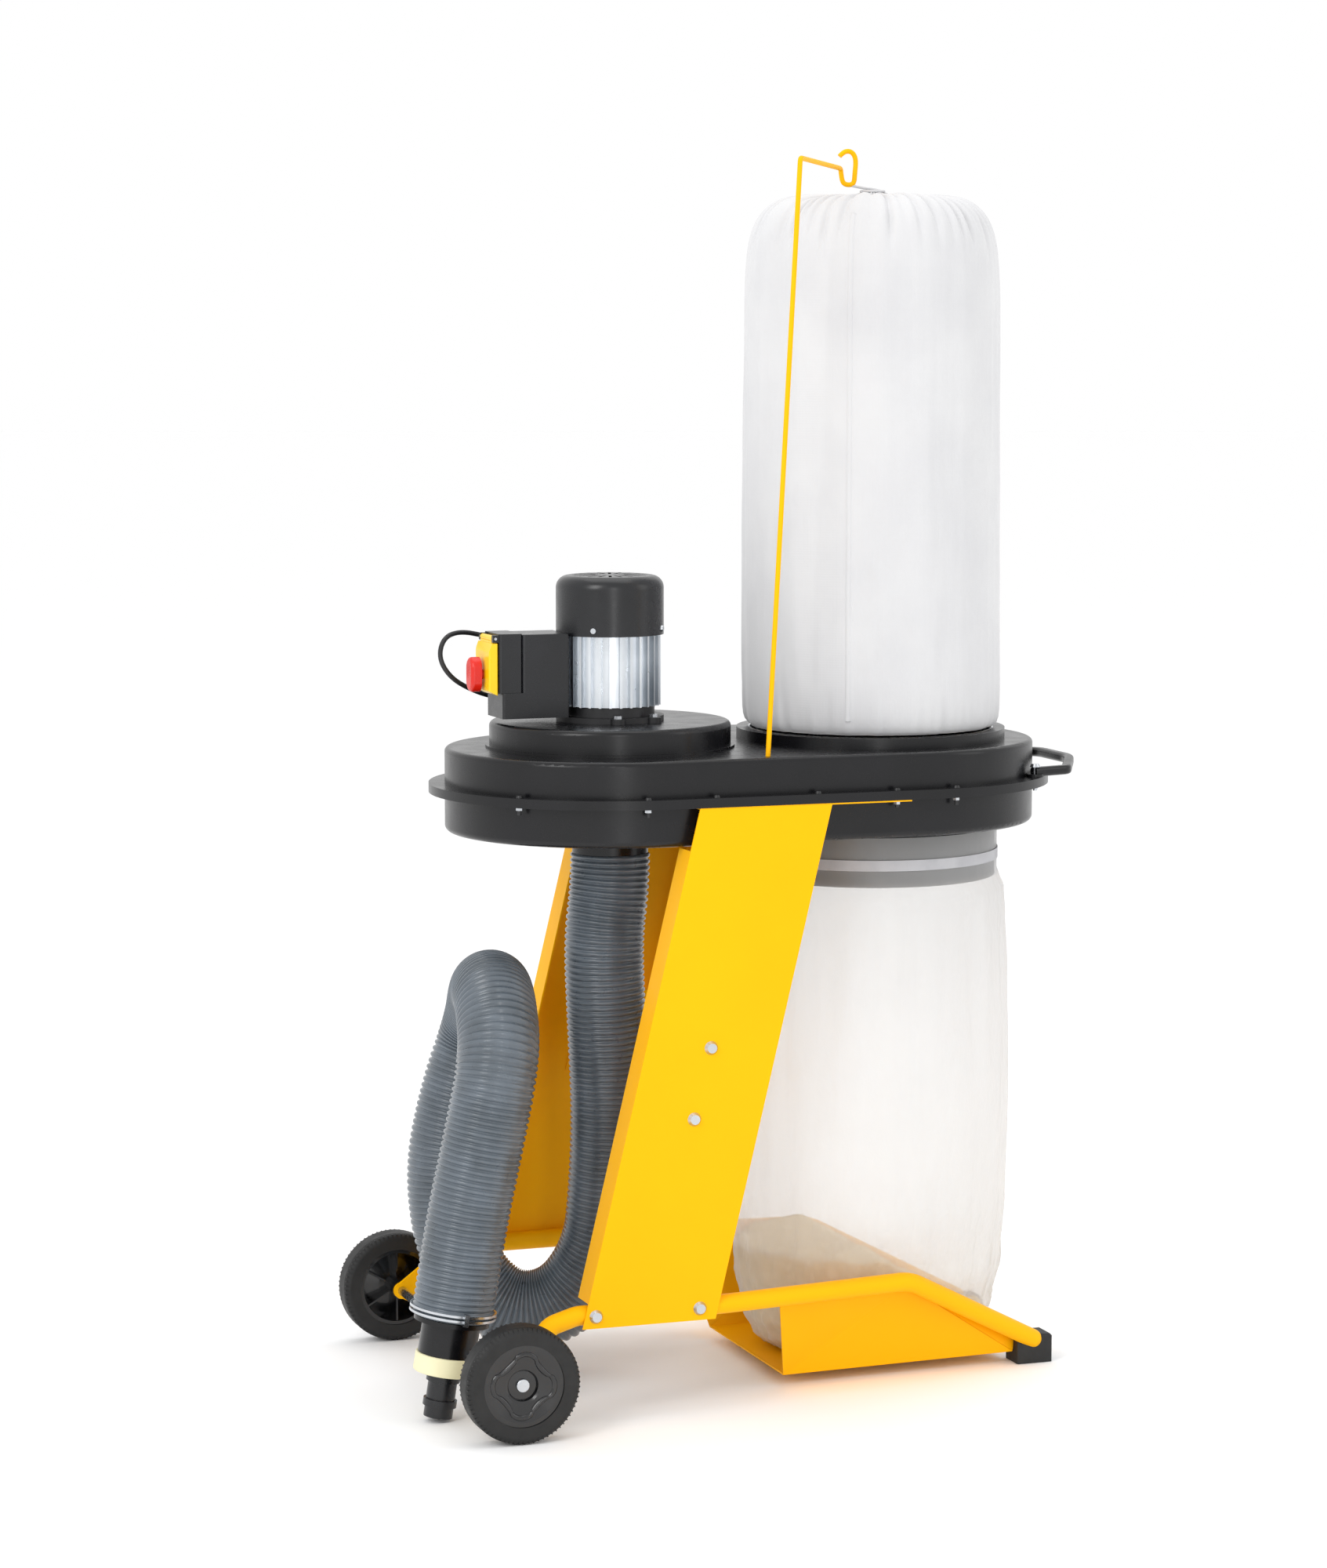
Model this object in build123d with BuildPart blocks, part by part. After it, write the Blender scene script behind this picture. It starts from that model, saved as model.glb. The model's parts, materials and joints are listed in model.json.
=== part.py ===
from build123d import *
from math import cos, pi, radians, sin, sqrt, tan
import os

# Portable single-bag dust collector. Millimetres, +Z up, +X from the wheels towards the
# handle, -Y is the left side. The origin is on the floor under the middle of the machine.

os.makedirs("parts", exist_ok=True)

# ---- driving dimensions -------------------------------------------------------------

# wheels and axle
wheel_d = 148.0
wheel_w = 39.0
wheel_out_from_leg = 70.0
hub_r = 52.0
axle_r = 6.0
axle_from_fan = 216.0
wheel_running_gap = 0.05

# casing, in plan a slot: a round end about the fan and one about the bags
case_r = 215.0
bag_from_fan = 365.0
case_bottom_z = 725.0
case_joint_z = 782.0
deck_z = 834.0
case_wall = 3.0
flange_w = 21.0
flange_t = 6.0
flange_screw_inset = 10.0
handle_reach = 275.0

# fan
cover_r = 157.0
cover_h = 34.0
cover_wall = 3.0
cover_lip_w = 5.0
cover_lip_t = 3.0
impeller_r = 122.0
impeller_h = 58.0
blade_count = 8
shaft_r = 7.0
bearing_r = 16.0
bearing_t = 10.0
bearing_gap = 0.03

# motor
motor_body_r = 58.0
motor_fin_r = 66.0
fin_count = 30
motor_wall = 5.0
foot_h = 20.0
housing_h = 94.0
cowl_r = 70.0
cowl_h = 76.0
cowl_wall = 2.0
motor_bolt_circle_r = 70.0

# switch
box_w = 68.0
box_front_from_fan = 129.0
box_back_from_fan = motor_fin_r
box_low_z = 876.0
box_seam_z = 909.0
box_top_z = 984.0
switch_d = 31.0
switch_w = 64.0
switch_low_z = 906.0
switch_top_z = 985.0
cover_t = 11.0
button_r = 9.0
knob_h = 45.0
knob_w = 28.0
knob_travel = 4.0
button_travel = 3.0
slide_gap = 0.3

# ducts
inlet_r = 49.5
inlet_len = 30.0
hose_d = 104.0
collar_r = 166.0
collar_len = 72.0
bag_ring_r = 178.0
bag_ring_h = 14.0
duct_wall = 3.0

# bags
filter_bag_r = 171.5
filter_bag_top_z = 1552.0
chip_bag_r = 191.0
film_t = 2.0
cloth_t = 3.0
band_w = 14.0
band_t = 1.6

# frame
leg_in_from_flange = 1.0
sheet_t = 2.0
leg_top_front = 40.0
leg_top_width = 178.0
leg_bottom_z = 122.0
leg_slope = 0.24
leg_lip = 40.0
leg_strip_end = 327.0
tube_r = 12.5
tube_z = 137.0
tray_z = 15.0
tray_front_from_bag = 175.0
tray_back_from_bag = 159.0
tray_half_front = 140.0
tray_half_back = 123.0
foot_len = 51.0
foot_wid = 40.0
foot_hgt = 38.0
rod_r = 3.2
lead_d = 6.4

# ---- places that follow from them ---------------------------------------------------

wheel_r = wheel_d / 2
end_of_machine = bag_from_fan + handle_reach
fan_x = (axle_from_fan + wheel_r - end_of_machine) / 2
bag_x = fan_x + bag_from_fan
axle_x = fan_x - axle_from_fan
axle_z = wheel_r
mid_x = (fan_x + bag_x) / 2
cover_top_z = deck_z + cover_h
housing_z = cover_top_z + foot_h
cowl_z = housing_z + housing_h - 2
cowl_top_z = cowl_z + cowl_h
leg_y = case_r + flange_w - leg_in_from_flange
wheel_out_y = leg_y + wheel_out_from_leg
tray_front = bag_from_fan - tray_front_from_bag
tray_back = bag_from_fan + tray_back_from_bag
tyre_in_y = wheel_out_y - wheel_w
leg_inner_y = leg_y - sheet_t
strip_z = case_joint_z - flange_t


def slot(radius):
    """The casing's outline in plan, at a given end radius."""
    return SlotCenterToCenter(bag_from_fan, 2 * radius)


def front_plane(x, z):
    """A plane that faces the wheel end, with its second axis upwards."""
    return Plane(origin=(x, 0, z), x_dir=(0, -1, 0), z_dir=(-1, 0, 0))


# ---- casing -------------------------------------------------------------------------

flange_screw_r = case_r + flange_w - flange_screw_inset
straight_screws = [-26, 65, 202, 310, bag_from_fan + 28]
arc_screws_fan = [139, 221]
arc_screws_bag = [14, -14]
handle_screw_angle = 39.0
screw_places = []
for place in straight_screws:
    for side in (-1, 1):
        over = max(0.0, place - bag_from_fan)
        across = sqrt(flange_screw_r**2 - over**2)
        screw_places.append((fan_x + place, side * across))
for angle in arc_screws_fan:
    turn = radians(angle)
    screw_places.append((fan_x + flange_screw_r * cos(turn), flange_screw_r * sin(turn)))
handle_places = []
for side in (-1, 1):
    turn = radians(side * handle_screw_angle)
    handle_places.append((bag_x + flange_screw_r * cos(turn), flange_screw_r * sin(turn)))
screw_r = 2.5
screw_hole_r = screw_r + 0.2

with BuildPart() as lower_shell:
    with BuildSketch(Plane.XY.offset(case_bottom_z)):
        with Locations((mid_x, 0)):
            slot(case_r)
    extrude(amount=case_joint_z - case_bottom_z)
    fillet(lower_shell.faces().sort_by(Axis.Z)[0].outer_wire().edges(), 8)
    with BuildSketch(Plane.XY.offset(case_joint_z - flange_t)):
        with Locations((mid_x, 0)):
            slot(case_r + flange_w)
    extrude(amount=flange_t)
    with BuildSketch(Plane.XY.offset(case_bottom_z + case_wall)):
        with Locations((mid_x, 0)):
            slot(case_r - case_wall)
    extrude(amount=case_joint_z - case_bottom_z, mode=Mode.SUBTRACT)
    with BuildSketch(Plane.XY.offset(case_bottom_z)):
        with Locations((fan_x, 0)):
            Circle(inlet_r - duct_wall)
        with Locations((bag_x, 0)):
            Circle(collar_r - duct_wall)
    extrude(amount=case_wall, mode=Mode.SUBTRACT)
    with BuildSketch(Plane.XY.offset(case_joint_z - flange_t)):
        with Locations(*screw_places, *handle_places):
            Circle(screw_hole_r)
    extrude(amount=flange_t, mode=Mode.SUBTRACT)
lower_shell.part.label = "lower_shell"
export_step(lower_shell.part, "parts/lower_shell.step")

# the hose's spigot and the chip bag's collar hang under the casing's floor by a rim
duct_rim_w = 9.0
duct_rim_t = 2.0
with BuildPart() as inlet_spigot:
    with BuildSketch(Plane.XY.offset(case_bottom_z - inlet_len)):
        with Locations((fan_x, 0)):
            Circle(inlet_r)
            Circle(inlet_r - duct_wall, mode=Mode.SUBTRACT)
    extrude(amount=inlet_len)
    with BuildSketch(Plane.XY.offset(case_bottom_z - duct_rim_t)):
        with Locations((fan_x, 0)):
            Circle(inlet_r + duct_rim_w)
            Circle(inlet_r - duct_wall, mode=Mode.SUBTRACT)
    extrude(amount=duct_rim_t)
inlet_spigot.part.label = "inlet_spigot"
export_step(inlet_spigot.part, "parts/inlet_spigot.step")

with BuildPart() as bag_collar:
    with BuildSketch(Plane.XY.offset(case_bottom_z - collar_len)):
        with Locations((bag_x, 0)):
            Circle(collar_r)
            Circle(collar_r - duct_wall, mode=Mode.SUBTRACT)
    extrude(amount=collar_len)
    with BuildSketch(Plane.XY.offset(case_bottom_z - duct_rim_t)):
        with Locations((bag_x, 0)):
            Circle(collar_r + duct_rim_w)
            Circle(collar_r - duct_wall, mode=Mode.SUBTRACT)
    extrude(amount=duct_rim_t)
bag_collar.part.label = "bag_collar"
export_step(bag_collar.part, "parts/bag_collar.step")

fan_opening_r = impeller_r + 8
rod_x = fan_x + 145
rod_y = 21 - case_r
rod_top_z = filter_bag_top_z + 34
hook_x = bag_x - 42
rod_route = [
    (rod_x, rod_y, deck_z - 14),
    (rod_x + 42, rod_y, rod_top_z),
    (hook_x - 6, -6, rod_top_z - 6),
    (hook_x - 2, -5, filter_bag_top_z + 8),
    (hook_x + 14, -3, filter_bag_top_z + 8),
    (hook_x + 16, -2, rod_top_z),
    (hook_x + 6, -2, rod_top_z + 20),
    (hook_x - 6, -2, rod_top_z + 10),
]
rod_dir = (rod_route[1][0] - rod_x, 0, rod_top_z - rod_route[0][2])
with BuildPart() as upper_shell:
    with BuildSketch(Plane.XY.offset(case_joint_z)):
        with Locations((mid_x, 0)):
            slot(case_r)
    extrude(amount=deck_z - case_joint_z)
    fillet(upper_shell.faces().sort_by(Axis.Z)[-1].outer_wire().edges(), 6)
    with BuildSketch(Plane.XY.offset(case_joint_z)):
        with Locations((mid_x, 0)):
            slot(case_r + flange_w)
    extrude(amount=flange_t)
    with BuildSketch(Plane.XY.offset(case_joint_z)):
        with Locations((mid_x, 0)):
            slot(case_r - case_wall)
    extrude(amount=deck_z - case_joint_z - case_wall, mode=Mode.SUBTRACT)
    with BuildSketch(Plane.XY.offset(deck_z - case_wall)):
        with Locations((bag_x, 0)):
            Circle(bag_ring_r)
    extrude(amount=bag_ring_h + case_wall)
    with BuildSketch(Plane.XY.offset(case_joint_z)):
        with Locations((bag_x, 0)):
            Circle(collar_r - duct_wall)
        with Locations((fan_x, 0)):
            Circle(fan_opening_r)
    extrude(amount=cowl_h, mode=Mode.SUBTRACT)
    with BuildSketch(Plane(origin=rod_route[0], z_dir=rod_dir)):
        Circle(rod_r)
    extrude(amount=30, mode=Mode.SUBTRACT)
    with BuildSketch(Plane.XY.offset(case_joint_z)):
        with Locations(*screw_places, *handle_places):
            Circle(screw_hole_r)
    extrude(amount=flange_t, mode=Mode.SUBTRACT)
upper_shell.part.label = "upper_shell"
export_step(upper_shell.part, "parts/upper_shell.step")

head_r = 4.5
head_h = 3.0
with BuildPart() as flange_screws:
    with BuildSketch(Plane.XY.offset(strip_z - sheet_t - 8)):
        with Locations(*screw_places):
            Circle(screw_r)
    extrude(amount=flange_t * 2 + sheet_t + 8)
    with BuildSketch(Plane.XY.offset(case_joint_z + flange_t)):
        with Locations(*screw_places):
            Circle(head_r)
    extrude(amount=head_h, taper=20)
flange_screws.part.label = "flange_screws"
export_step(flange_screws.part, "parts/flange_screws.step")

nut_places_strip = []
nut_places_bare = []
for place_x, place_y in screw_places:
    on_strip = fan_x + leg_top_front < place_x < fan_x + leg_strip_end
    if on_strip:
        nut_places_strip.append((place_x, place_y))
    else:
        nut_places_bare.append((place_x, place_y))
nut_h = 4.0
with BuildPart() as flange_nuts:
    with BuildSketch(Plane.XY.offset(strip_z - sheet_t - nut_h)):
        with Locations(*nut_places_strip):
            RegularPolygon(4.6, 6)
            Circle(screw_r + 0.05, mode=Mode.SUBTRACT)
    extrude(amount=nut_h)
    with BuildSketch(Plane.XY.offset(strip_z - nut_h)):
        with Locations(*nut_places_bare, *handle_places):
            RegularPolygon(4.6, 6)
            Circle(screw_r + 0.05, mode=Mode.SUBTRACT)
    extrude(amount=nut_h)
flange_nuts.part.label = "flange_nuts"
export_step(flange_nuts.part, "parts/flange_nuts.step")

# curved wall about the impeller that leads the air to the bags
scroll_r = fan_opening_r + 12
scroll_z = case_bottom_z + case_wall
with BuildPart() as fan_scroll:
    with BuildSketch(Plane.XY.offset(scroll_z)):
        with Locations((fan_x, 0)):
            Circle(scroll_r + sheet_t)
            Circle(scroll_r, mode=Mode.SUBTRACT)
        with Locations((fan_x + scroll_r, 0)):
            Rectangle(scroll_r * 0.9, 1.5 * scroll_r, mode=Mode.SUBTRACT)
    extrude(amount=deck_z - case_wall - scroll_z)
fan_scroll.part.label = "fan_scroll"
export_step(fan_scroll.part, "parts/fan_scroll.step")

# ---- fan and motor ------------------------------------------------------------------

motor_bolt_places = [
    (fan_x + motor_bolt_circle_r * cos(radians(a)), motor_bolt_circle_r * sin(radians(a)))
    for a in (-100, -55, 80, 125)
]
motor_bolt_r = 3.0
with BuildPart() as fan_cover:
    with BuildSketch(Plane.XY.offset(deck_z)):
        with Locations((fan_x, 0)):
            Circle(cover_r)
    extrude(amount=cover_h)
    fillet(fan_cover.faces().sort_by(Axis.Z)[-1].edges(), 7)
    with BuildSketch(Plane.XY.offset(deck_z)):
        with Locations((fan_x, 0)):
            Circle(cover_r + cover_lip_w)
    extrude(amount=cover_lip_t)
    with BuildSketch(Plane.XY.offset(deck_z)):
        with Locations((fan_x, 0)):
            Circle(cover_r - cover_wall)
    extrude(amount=cover_h - cover_wall, mode=Mode.SUBTRACT)
    with BuildSketch(Plane.XY.offset(deck_z)):
        with Locations((fan_x, 0)):
            Circle(bearing_r + 4)
        with Locations(*motor_bolt_places):
            Circle(motor_bolt_r + 0.1)
    extrude(amount=cover_h, mode=Mode.SUBTRACT)
fan_cover.part.label = "fan_cover"
export_step(fan_cover.part, "parts/fan_cover.step")

impeller_top_z = cover_top_z - cover_wall - 12
plate_t = 3.0
impeller_hub_r = 18.0
with BuildPart() as impeller:
    with BuildSketch(Plane.XY.offset(impeller_top_z - plate_t)):
        with Locations((fan_x, 0)):
            Circle(impeller_r)
    extrude(amount=plate_t)
    with BuildSketch(Plane.XY.offset(impeller_top_z - impeller_h)):
        with Locations((fan_x, 0)):
            with PolarLocations(impeller_r / 2 + 10, blade_count):
                Rectangle(impeller_r - 24, plate_t, rotation=14)
    extrude(amount=impeller_h)
    with BuildSketch(Plane.XY.offset(impeller_top_z - 30)):
        with Locations((fan_x, 0)):
            Circle(impeller_hub_r)
    extrude(amount=34)
    with BuildSketch(Plane.XY.offset(impeller_top_z - impeller_h)):
        with Locations((fan_x, 0)):
            Circle(shaft_r)
    extrude(amount=impeller_h + 4, mode=Mode.SUBTRACT)
impeller.part.label = "impeller"
export_step(impeller.part, "parts/impeller.step")

shaft_low_z = impeller_top_z - 34
shaft_top_z = cowl_top_z - 28
core_r = 31.0
core_low_z = housing_z + 18
core_h = housing_h - 36
with BuildPart() as rotor:
    with BuildSketch(Plane.XY.offset(shaft_low_z)):
        with Locations((fan_x, 0)):
            Circle(shaft_r)
    extrude(amount=shaft_top_z - shaft_low_z)
    with BuildSketch(Plane.XY.offset(core_low_z)):
        with Locations((fan_x, 0)):
            Circle(core_r)
    extrude(amount=core_h)
rotor.part.label = "rotor"
export_step(rotor.part, "parts/rotor.step")

lower_bearing_z = cover_top_z + 4
upper_bearing_z = housing_z + housing_h - 8
with BuildPart() as bearings:
    for bearing_z in (lower_bearing_z, upper_bearing_z):
        with BuildSketch(Plane.XY.offset(bearing_z)):
            with Locations((fan_x, 0)):
                Circle(bearing_r)
                Circle(shaft_r + bearing_gap, mode=Mode.SUBTRACT)
        extrude(amount=bearing_t)
bearings.part.label = "bearings"
export_step(bearings.part, "parts/bearings.step")

with BuildPart() as stator:
    with BuildSketch(Plane.XY.offset(core_low_z)):
        with Locations((fan_x, 0)):
            Circle(motor_body_r - motor_wall)
            Circle(core_r + 0.5, mode=Mode.SUBTRACT)
    extrude(amount=core_h)
stator.part.label = "stator"
export_step(stator.part, "parts/stator.step")

# black lower end shield: a bolted flange, a neck and the lower bearing's seat
with BuildPart() as motor_foot:
    with BuildSketch(Plane.XY.offset(cover_top_z)):
        with Locations((fan_x, 0)):
            Circle(motor_fin_r + 4)
        with Locations(*motor_bolt_places):
            Circle(10)
    extrude(amount=7)
    with BuildSketch(Plane.XY.offset(cover_top_z)):
        with Locations((fan_x, 0)):
            Circle(motor_body_r)
    extrude(amount=foot_h)
    with BuildSketch(Plane.XY.offset(cover_top_z)):
        with Locations((fan_x, 0)):
            Circle(shaft_r + 2)
        with Locations(*motor_bolt_places):
            Circle(motor_bolt_r + 0.1)
    extrude(amount=foot_h, mode=Mode.SUBTRACT)
    with BuildSketch(Plane.XY.offset(lower_bearing_z)):
        with Locations((fan_x, 0)):
            Circle(bearing_r)
    extrude(amount=foot_h, mode=Mode.SUBTRACT)
motor_foot.part.label = "motor_foot"
export_step(motor_foot.part, "parts/motor_foot.step")

with BuildPart() as motor_bolts:
    with BuildSketch(Plane.XY.offset(cover_top_z - cover_wall - 5)):
        with Locations(*motor_bolt_places):
            Circle(motor_bolt_r)
    extrude(amount=cover_wall + 5 + 7)
    with BuildSketch(Plane.XY.offset(cover_top_z + 7)):
        with Locations(*motor_bolt_places):
            RegularPolygon(5.5, 6)
    extrude(amount=4)

with BuildPart() as motor_housing:
    with BuildSketch(Plane.XY.offset(housing_z)):
        with Locations((fan_x, 0)):
            Circle(motor_body_r)
            with PolarLocations((motor_body_r + motor_fin_r) / 2 - 1, fin_count):
                Rectangle(motor_fin_r - motor_body_r + 2, 3.2)
            Circle(motor_body_r - motor_wall, mode=Mode.SUBTRACT)
    extrude(amount=housing_h)
motor_housing.part.label = "motor_housing"
export_step(motor_housing.part, "parts/motor_housing.step")

cowl_screw_angles = [-36, 54, 144, 234]
shield_h = 12.0
shield_z = housing_z + housing_h
with BuildPart() as top_shield:
    with BuildSketch(Plane.XY.offset(shield_z)):
        with Locations((fan_x, 0)):
            Circle(motor_fin_r + 1)
    extrude(amount=shield_h)
    with BuildSketch(Plane.XY.offset(upper_bearing_z - 2)):
        with Locations((fan_x, 0)):
            Circle(bearing_r + 4)
    extrude(amount=shield_z - upper_bearing_z + 4)
    with BuildSketch(Plane.XY.offset(upper_bearing_z - 2)):
        with Locations((fan_x, 0)):
            Circle(bearing_r)
    extrude(amount=bearing_t + 2, mode=Mode.SUBTRACT)
    with BuildSketch(Plane.XY.offset(upper_bearing_z)):
        with Locations((fan_x, 0)):
            Circle(shaft_r + 2)
    extrude(amount=shield_h + 20, mode=Mode.SUBTRACT)
top_shield.part.label = "top_shield"
export_step(top_shield.part, "parts/top_shield.step")

cooler_z = shield_z + shield_h + 6
with BuildPart() as cooling_fan:
    with BuildSketch(Plane.XY.offset(cooler_z)):
        with Locations((fan_x, 0)):
            Circle(54)
    extrude(amount=2.5)
    with BuildSketch(Plane.XY.offset(cooler_z)):
        with Locations((fan_x, 0)):
            Circle(13)
            with PolarLocations(33, 7):
                Rectangle(38, 2.5)
    extrude(amount=16)
    with BuildSketch(Plane.XY.offset(cooler_z)):
        with Locations((fan_x, 0)):
            Circle(shaft_r)
    extrude(amount=16, mode=Mode.SUBTRACT)
cooling_fan.part.label = "cooling_fan"
export_step(cooling_fan.part, "parts/cooling_fan.step")

with BuildPart() as fan_cowl:
    with BuildSketch(Plane.XY.offset(cowl_z)):
        with Locations((fan_x, 0)):
            Circle(cowl_r)
    extrude(amount=cowl_h)
    fillet(fan_cowl.faces().sort_by(Axis.Z)[-1].edges(), 16)
    with BuildSketch(Plane.XY.offset(cowl_z)):
        with Locations((fan_x, 0)):
            Circle(cowl_r - cowl_wall)
    extrude(amount=cowl_h - 16, mode=Mode.SUBTRACT)
    with BuildSketch(Plane.XY.offset(cowl_z)):
        with Locations((fan_x, 0)):
            Circle(cowl_r - 16)
    extrude(amount=cowl_h - cowl_wall, mode=Mode.SUBTRACT)
    with BuildSketch(Plane.XY.offset(cowl_z)):
        with Locations((fan_x, 0)):
            with PolarLocations(34, 20):
                SlotOverall(30, 4)
    extrude(amount=cowl_h, mode=Mode.SUBTRACT)
fan_cowl.part.label = "fan_cowl"
export_step(fan_cowl.part, "parts/fan_cowl.step")

with BuildPart() as motor_screws:
    add(motor_bolts.part)
    for angle in cowl_screw_angles:
        turn = radians(angle)
        out = Vector(cos(turn), sin(turn), 0)
        seat = Vector(fan_x, 0, shield_z + shield_h / 2) + out * cowl_r
        with BuildSketch(Plane(origin=tuple(seat), z_dir=tuple(out))):
            Circle(4.2)
        extrude(amount=2.5, taper=15)
motor_screws.part.label = "motor_screws"
export_step(motor_screws.part, "parts/motor_screws.step")

# ---- switch box and switch ----------------------------------------------------------

box_x0 = fan_x - box_front_from_fan
box_x1 = fan_x - box_back_from_fan
switch_x0 = box_x0 - switch_d
box_mid_x = (box_x0 + box_x1) / 2
box_fillet = 3.0
with BuildPart() as terminal_box:
    with BuildSketch(Plane.XY.offset(box_low_z)):
        with Locations(((switch_x0 + 4 + box_x1) / 2, 0)):
            RectangleRounded(box_x1 - switch_x0 - 4, box_w, box_fillet)
    extrude(amount=box_seam_z - box_low_z - 3)
    with BuildSketch(Plane.XY.offset(box_low_z + 3)):
        with Locations(((switch_x0 + 4 + box_x1) / 2, 0)):
            RectangleRounded(box_x1 - switch_x0 - 10, box_w - 6, 1.5)
    extrude(amount=box_seam_z, mode=Mode.SUBTRACT)
terminal_box.part.label = "terminal_box"
export_step(terminal_box.part, "parts/terminal_box.step")

gland_z = 968.0
gland_x = box_x0 + 15
with BuildPart() as box_lid:
    with BuildSketch(Plane.XY.offset(box_seam_z - 3)):
        with Locations(((switch_x0 + 4 + box_x1) / 2, 0)):
            RectangleRounded(box_x1 - switch_x0 - 4, box_w, box_fillet)
    extrude(amount=3)
    with BuildSketch(Plane.XY.offset(box_seam_z)):
        with Locations((box_mid_x, 0)):
            RectangleRounded(box_x1 - box_x0, box_w, box_fillet)
    extrude(amount=box_top_z - box_seam_z)
    fillet(box_lid.faces().sort_by(Axis.Z)[-1].edges(), 2)
    with BuildSketch(Plane.XY.offset(box_seam_z - 3)):
        with Locations((box_mid_x, 0)):
            Rectangle(box_x1 - box_x0 - 6, box_w - 6)
    extrude(amount=box_top_z - box_seam_z, mode=Mode.SUBTRACT)
    with BuildSketch(Plane(origin=(gland_x, box_w / 2, gland_z), z_dir=(0, -1, 0))):
        Circle(6)
    extrude(amount=8, mode=Mode.SUBTRACT)
    with BuildSketch(Plane.XY.offset(cowl_z - 0.5)):
        with Locations((fan_x, 0)):
            Circle(cowl_r + 0.5)
    extrude(amount=20, mode=Mode.SUBTRACT)
box_lid.part.label = "box_lid"
export_step(box_lid.part, "parts/box_lid.step")

button_z_start = 957.0
button_z_stop = 932.0
pin_z = switch_top_z - 6
pin_x = switch_x0 - 4.5
pin_r = 1.8
lug_w = 6.0
with BuildPart() as switch_body:
    with BuildSketch(Plane.XY.offset(box_seam_z)):
        with Locations(((switch_x0 + box_x0) / 2, 0)):
            RectangleRounded(box_x0 - switch_x0, switch_w, 3)
    extrude(amount=switch_top_z - box_seam_z)
    with BuildSketch(front_plane(switch_x0, pin_z)):
        with Locations((switch_w / 2 - lug_w / 2 - 1, 0), (-switch_w / 2 + lug_w / 2 + 1, 0)):
            Rectangle(lug_w, 9)
    extrude(amount=8)
    with BuildSketch(Plane(origin=(pin_x, 0, pin_z), z_dir=(0, -1, 0))):
        Circle(pin_r)
    extrude(amount=switch_w / 2, both=True, mode=Mode.SUBTRACT)
    with BuildSketch(front_plane(switch_x0, 0)):
        with Locations((0, button_z_start), (0, button_z_stop)):
            Circle(button_r + slide_gap)
    extrude(amount=-(button_travel + 8), mode=Mode.SUBTRACT)
switch_body.part.label = "switch_body"
export_step(switch_body.part, "parts/switch_body.step")

for place_z, label in ((button_z_start, "start_button"), (button_z_stop, "stop_button")):
    with BuildPart() as button:
        with BuildSketch(front_plane(switch_x0 + 7.5, place_z)):
            Circle(button_r)
        extrude(amount=9)
        fillet(button.faces().sort_by(Axis.X)[0].edges(), 1)
    button.part.label = label
    export_step(button.part, f"parts/{label}.step")

with BuildPart() as cover_pin:
    with BuildSketch(Plane(origin=(pin_x, 0, pin_z), z_dir=(0, -1, 0))):
        Circle(pin_r)
    extrude(amount=switch_w / 2 - 1, both=True)
cover_pin.part.label = "cover_pin"
export_step(cover_pin.part, "parts/cover_pin.step")

# yellow lid over the buttons: a shallow pan hinged at its top, with the stop knob's hole
lid_x0 = switch_x0 - cover_t
lid_low_z = switch_low_z
knob_z = button_z_stop
stem_r = 6.0
barrel_w = switch_w - 2 * lug_w - 4
with BuildPart() as switch_cover:
    with BuildSketch(Plane.XZ.offset(-switch_w / 2 + 2)):
        with BuildLine():
            Polyline(
                (switch_x0 - 1, lid_low_z),
                (lid_x0 - 2, lid_low_z + 6),
                (lid_x0 - 2, knob_z + 30),
                (switch_x0 - 9, pin_z - 6),
                (switch_x0 - 1, pin_z - 6),
                close=True,
            )
        make_face()
    extrude(amount=switch_w - 4)
    fillet(switch_cover.edges().filter_by(Axis.Z), 2)
    with BuildSketch(Plane(origin=(pin_x, 0, pin_z), z_dir=(0, -1, 0))):
        Circle(pin_r + 2)
    extrude(amount=barrel_w / 2, both=True)
    with BuildSketch(Plane(origin=(pin_x, 0, pin_z - 5), z_dir=(0, -1, 0))):
        Rectangle(2 * pin_r + 1, 7)
    extrude(amount=barrel_w / 2, both=True)
    with BuildSketch(Plane(origin=(pin_x, 0, pin_z), z_dir=(0, -1, 0))):
        Circle(pin_r + 0.05)
    extrude(amount=barrel_w / 2, both=True, mode=Mode.SUBTRACT)
    pan_half = switch_w / 2 - 5
    with BuildSketch(Plane.XZ.offset(-pan_half)):
        with BuildLine():
            Polyline(
                (switch_x0, lid_low_z + 3),
                (lid_x0 + 1, lid_low_z + 9),
                (lid_x0 + 1, knob_z + 26),
                (switch_x0, knob_z + 37.5),
                close=True,
            )
        make_face()
    extrude(amount=2 * pan_half, mode=Mode.SUBTRACT)
    with BuildSketch(front_plane(switch_x0, knob_z)):
        Circle(stem_r + slide_gap)
    extrude(amount=30, mode=Mode.SUBTRACT)
switch_cover.part.label = "switch_cover"
export_step(switch_cover.part, "parts/switch_cover.step")

cover_face_x = lid_x0 - 2
stem_end_x = switch_x0 - 1.5 - knob_travel - 0.5
with BuildPart() as stop_knob:
    with BuildSketch(front_plane(cover_face_x - knob_travel - 0.5, knob_z)):
        SlotOverall(knob_h, knob_w, rotation=90)
    extrude(amount=14)
    fillet(stop_knob.faces().sort_by(Axis.X)[0].edges(), 5)
    with BuildSketch(front_plane(stem_end_x, knob_z)):
        Circle(stem_r)
    extrude(amount=stem_end_x - cover_face_x + knob_travel + 2)
stop_knob.part.label = "stop_knob"
export_step(stop_knob.part, "parts/stop_knob.step")

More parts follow.
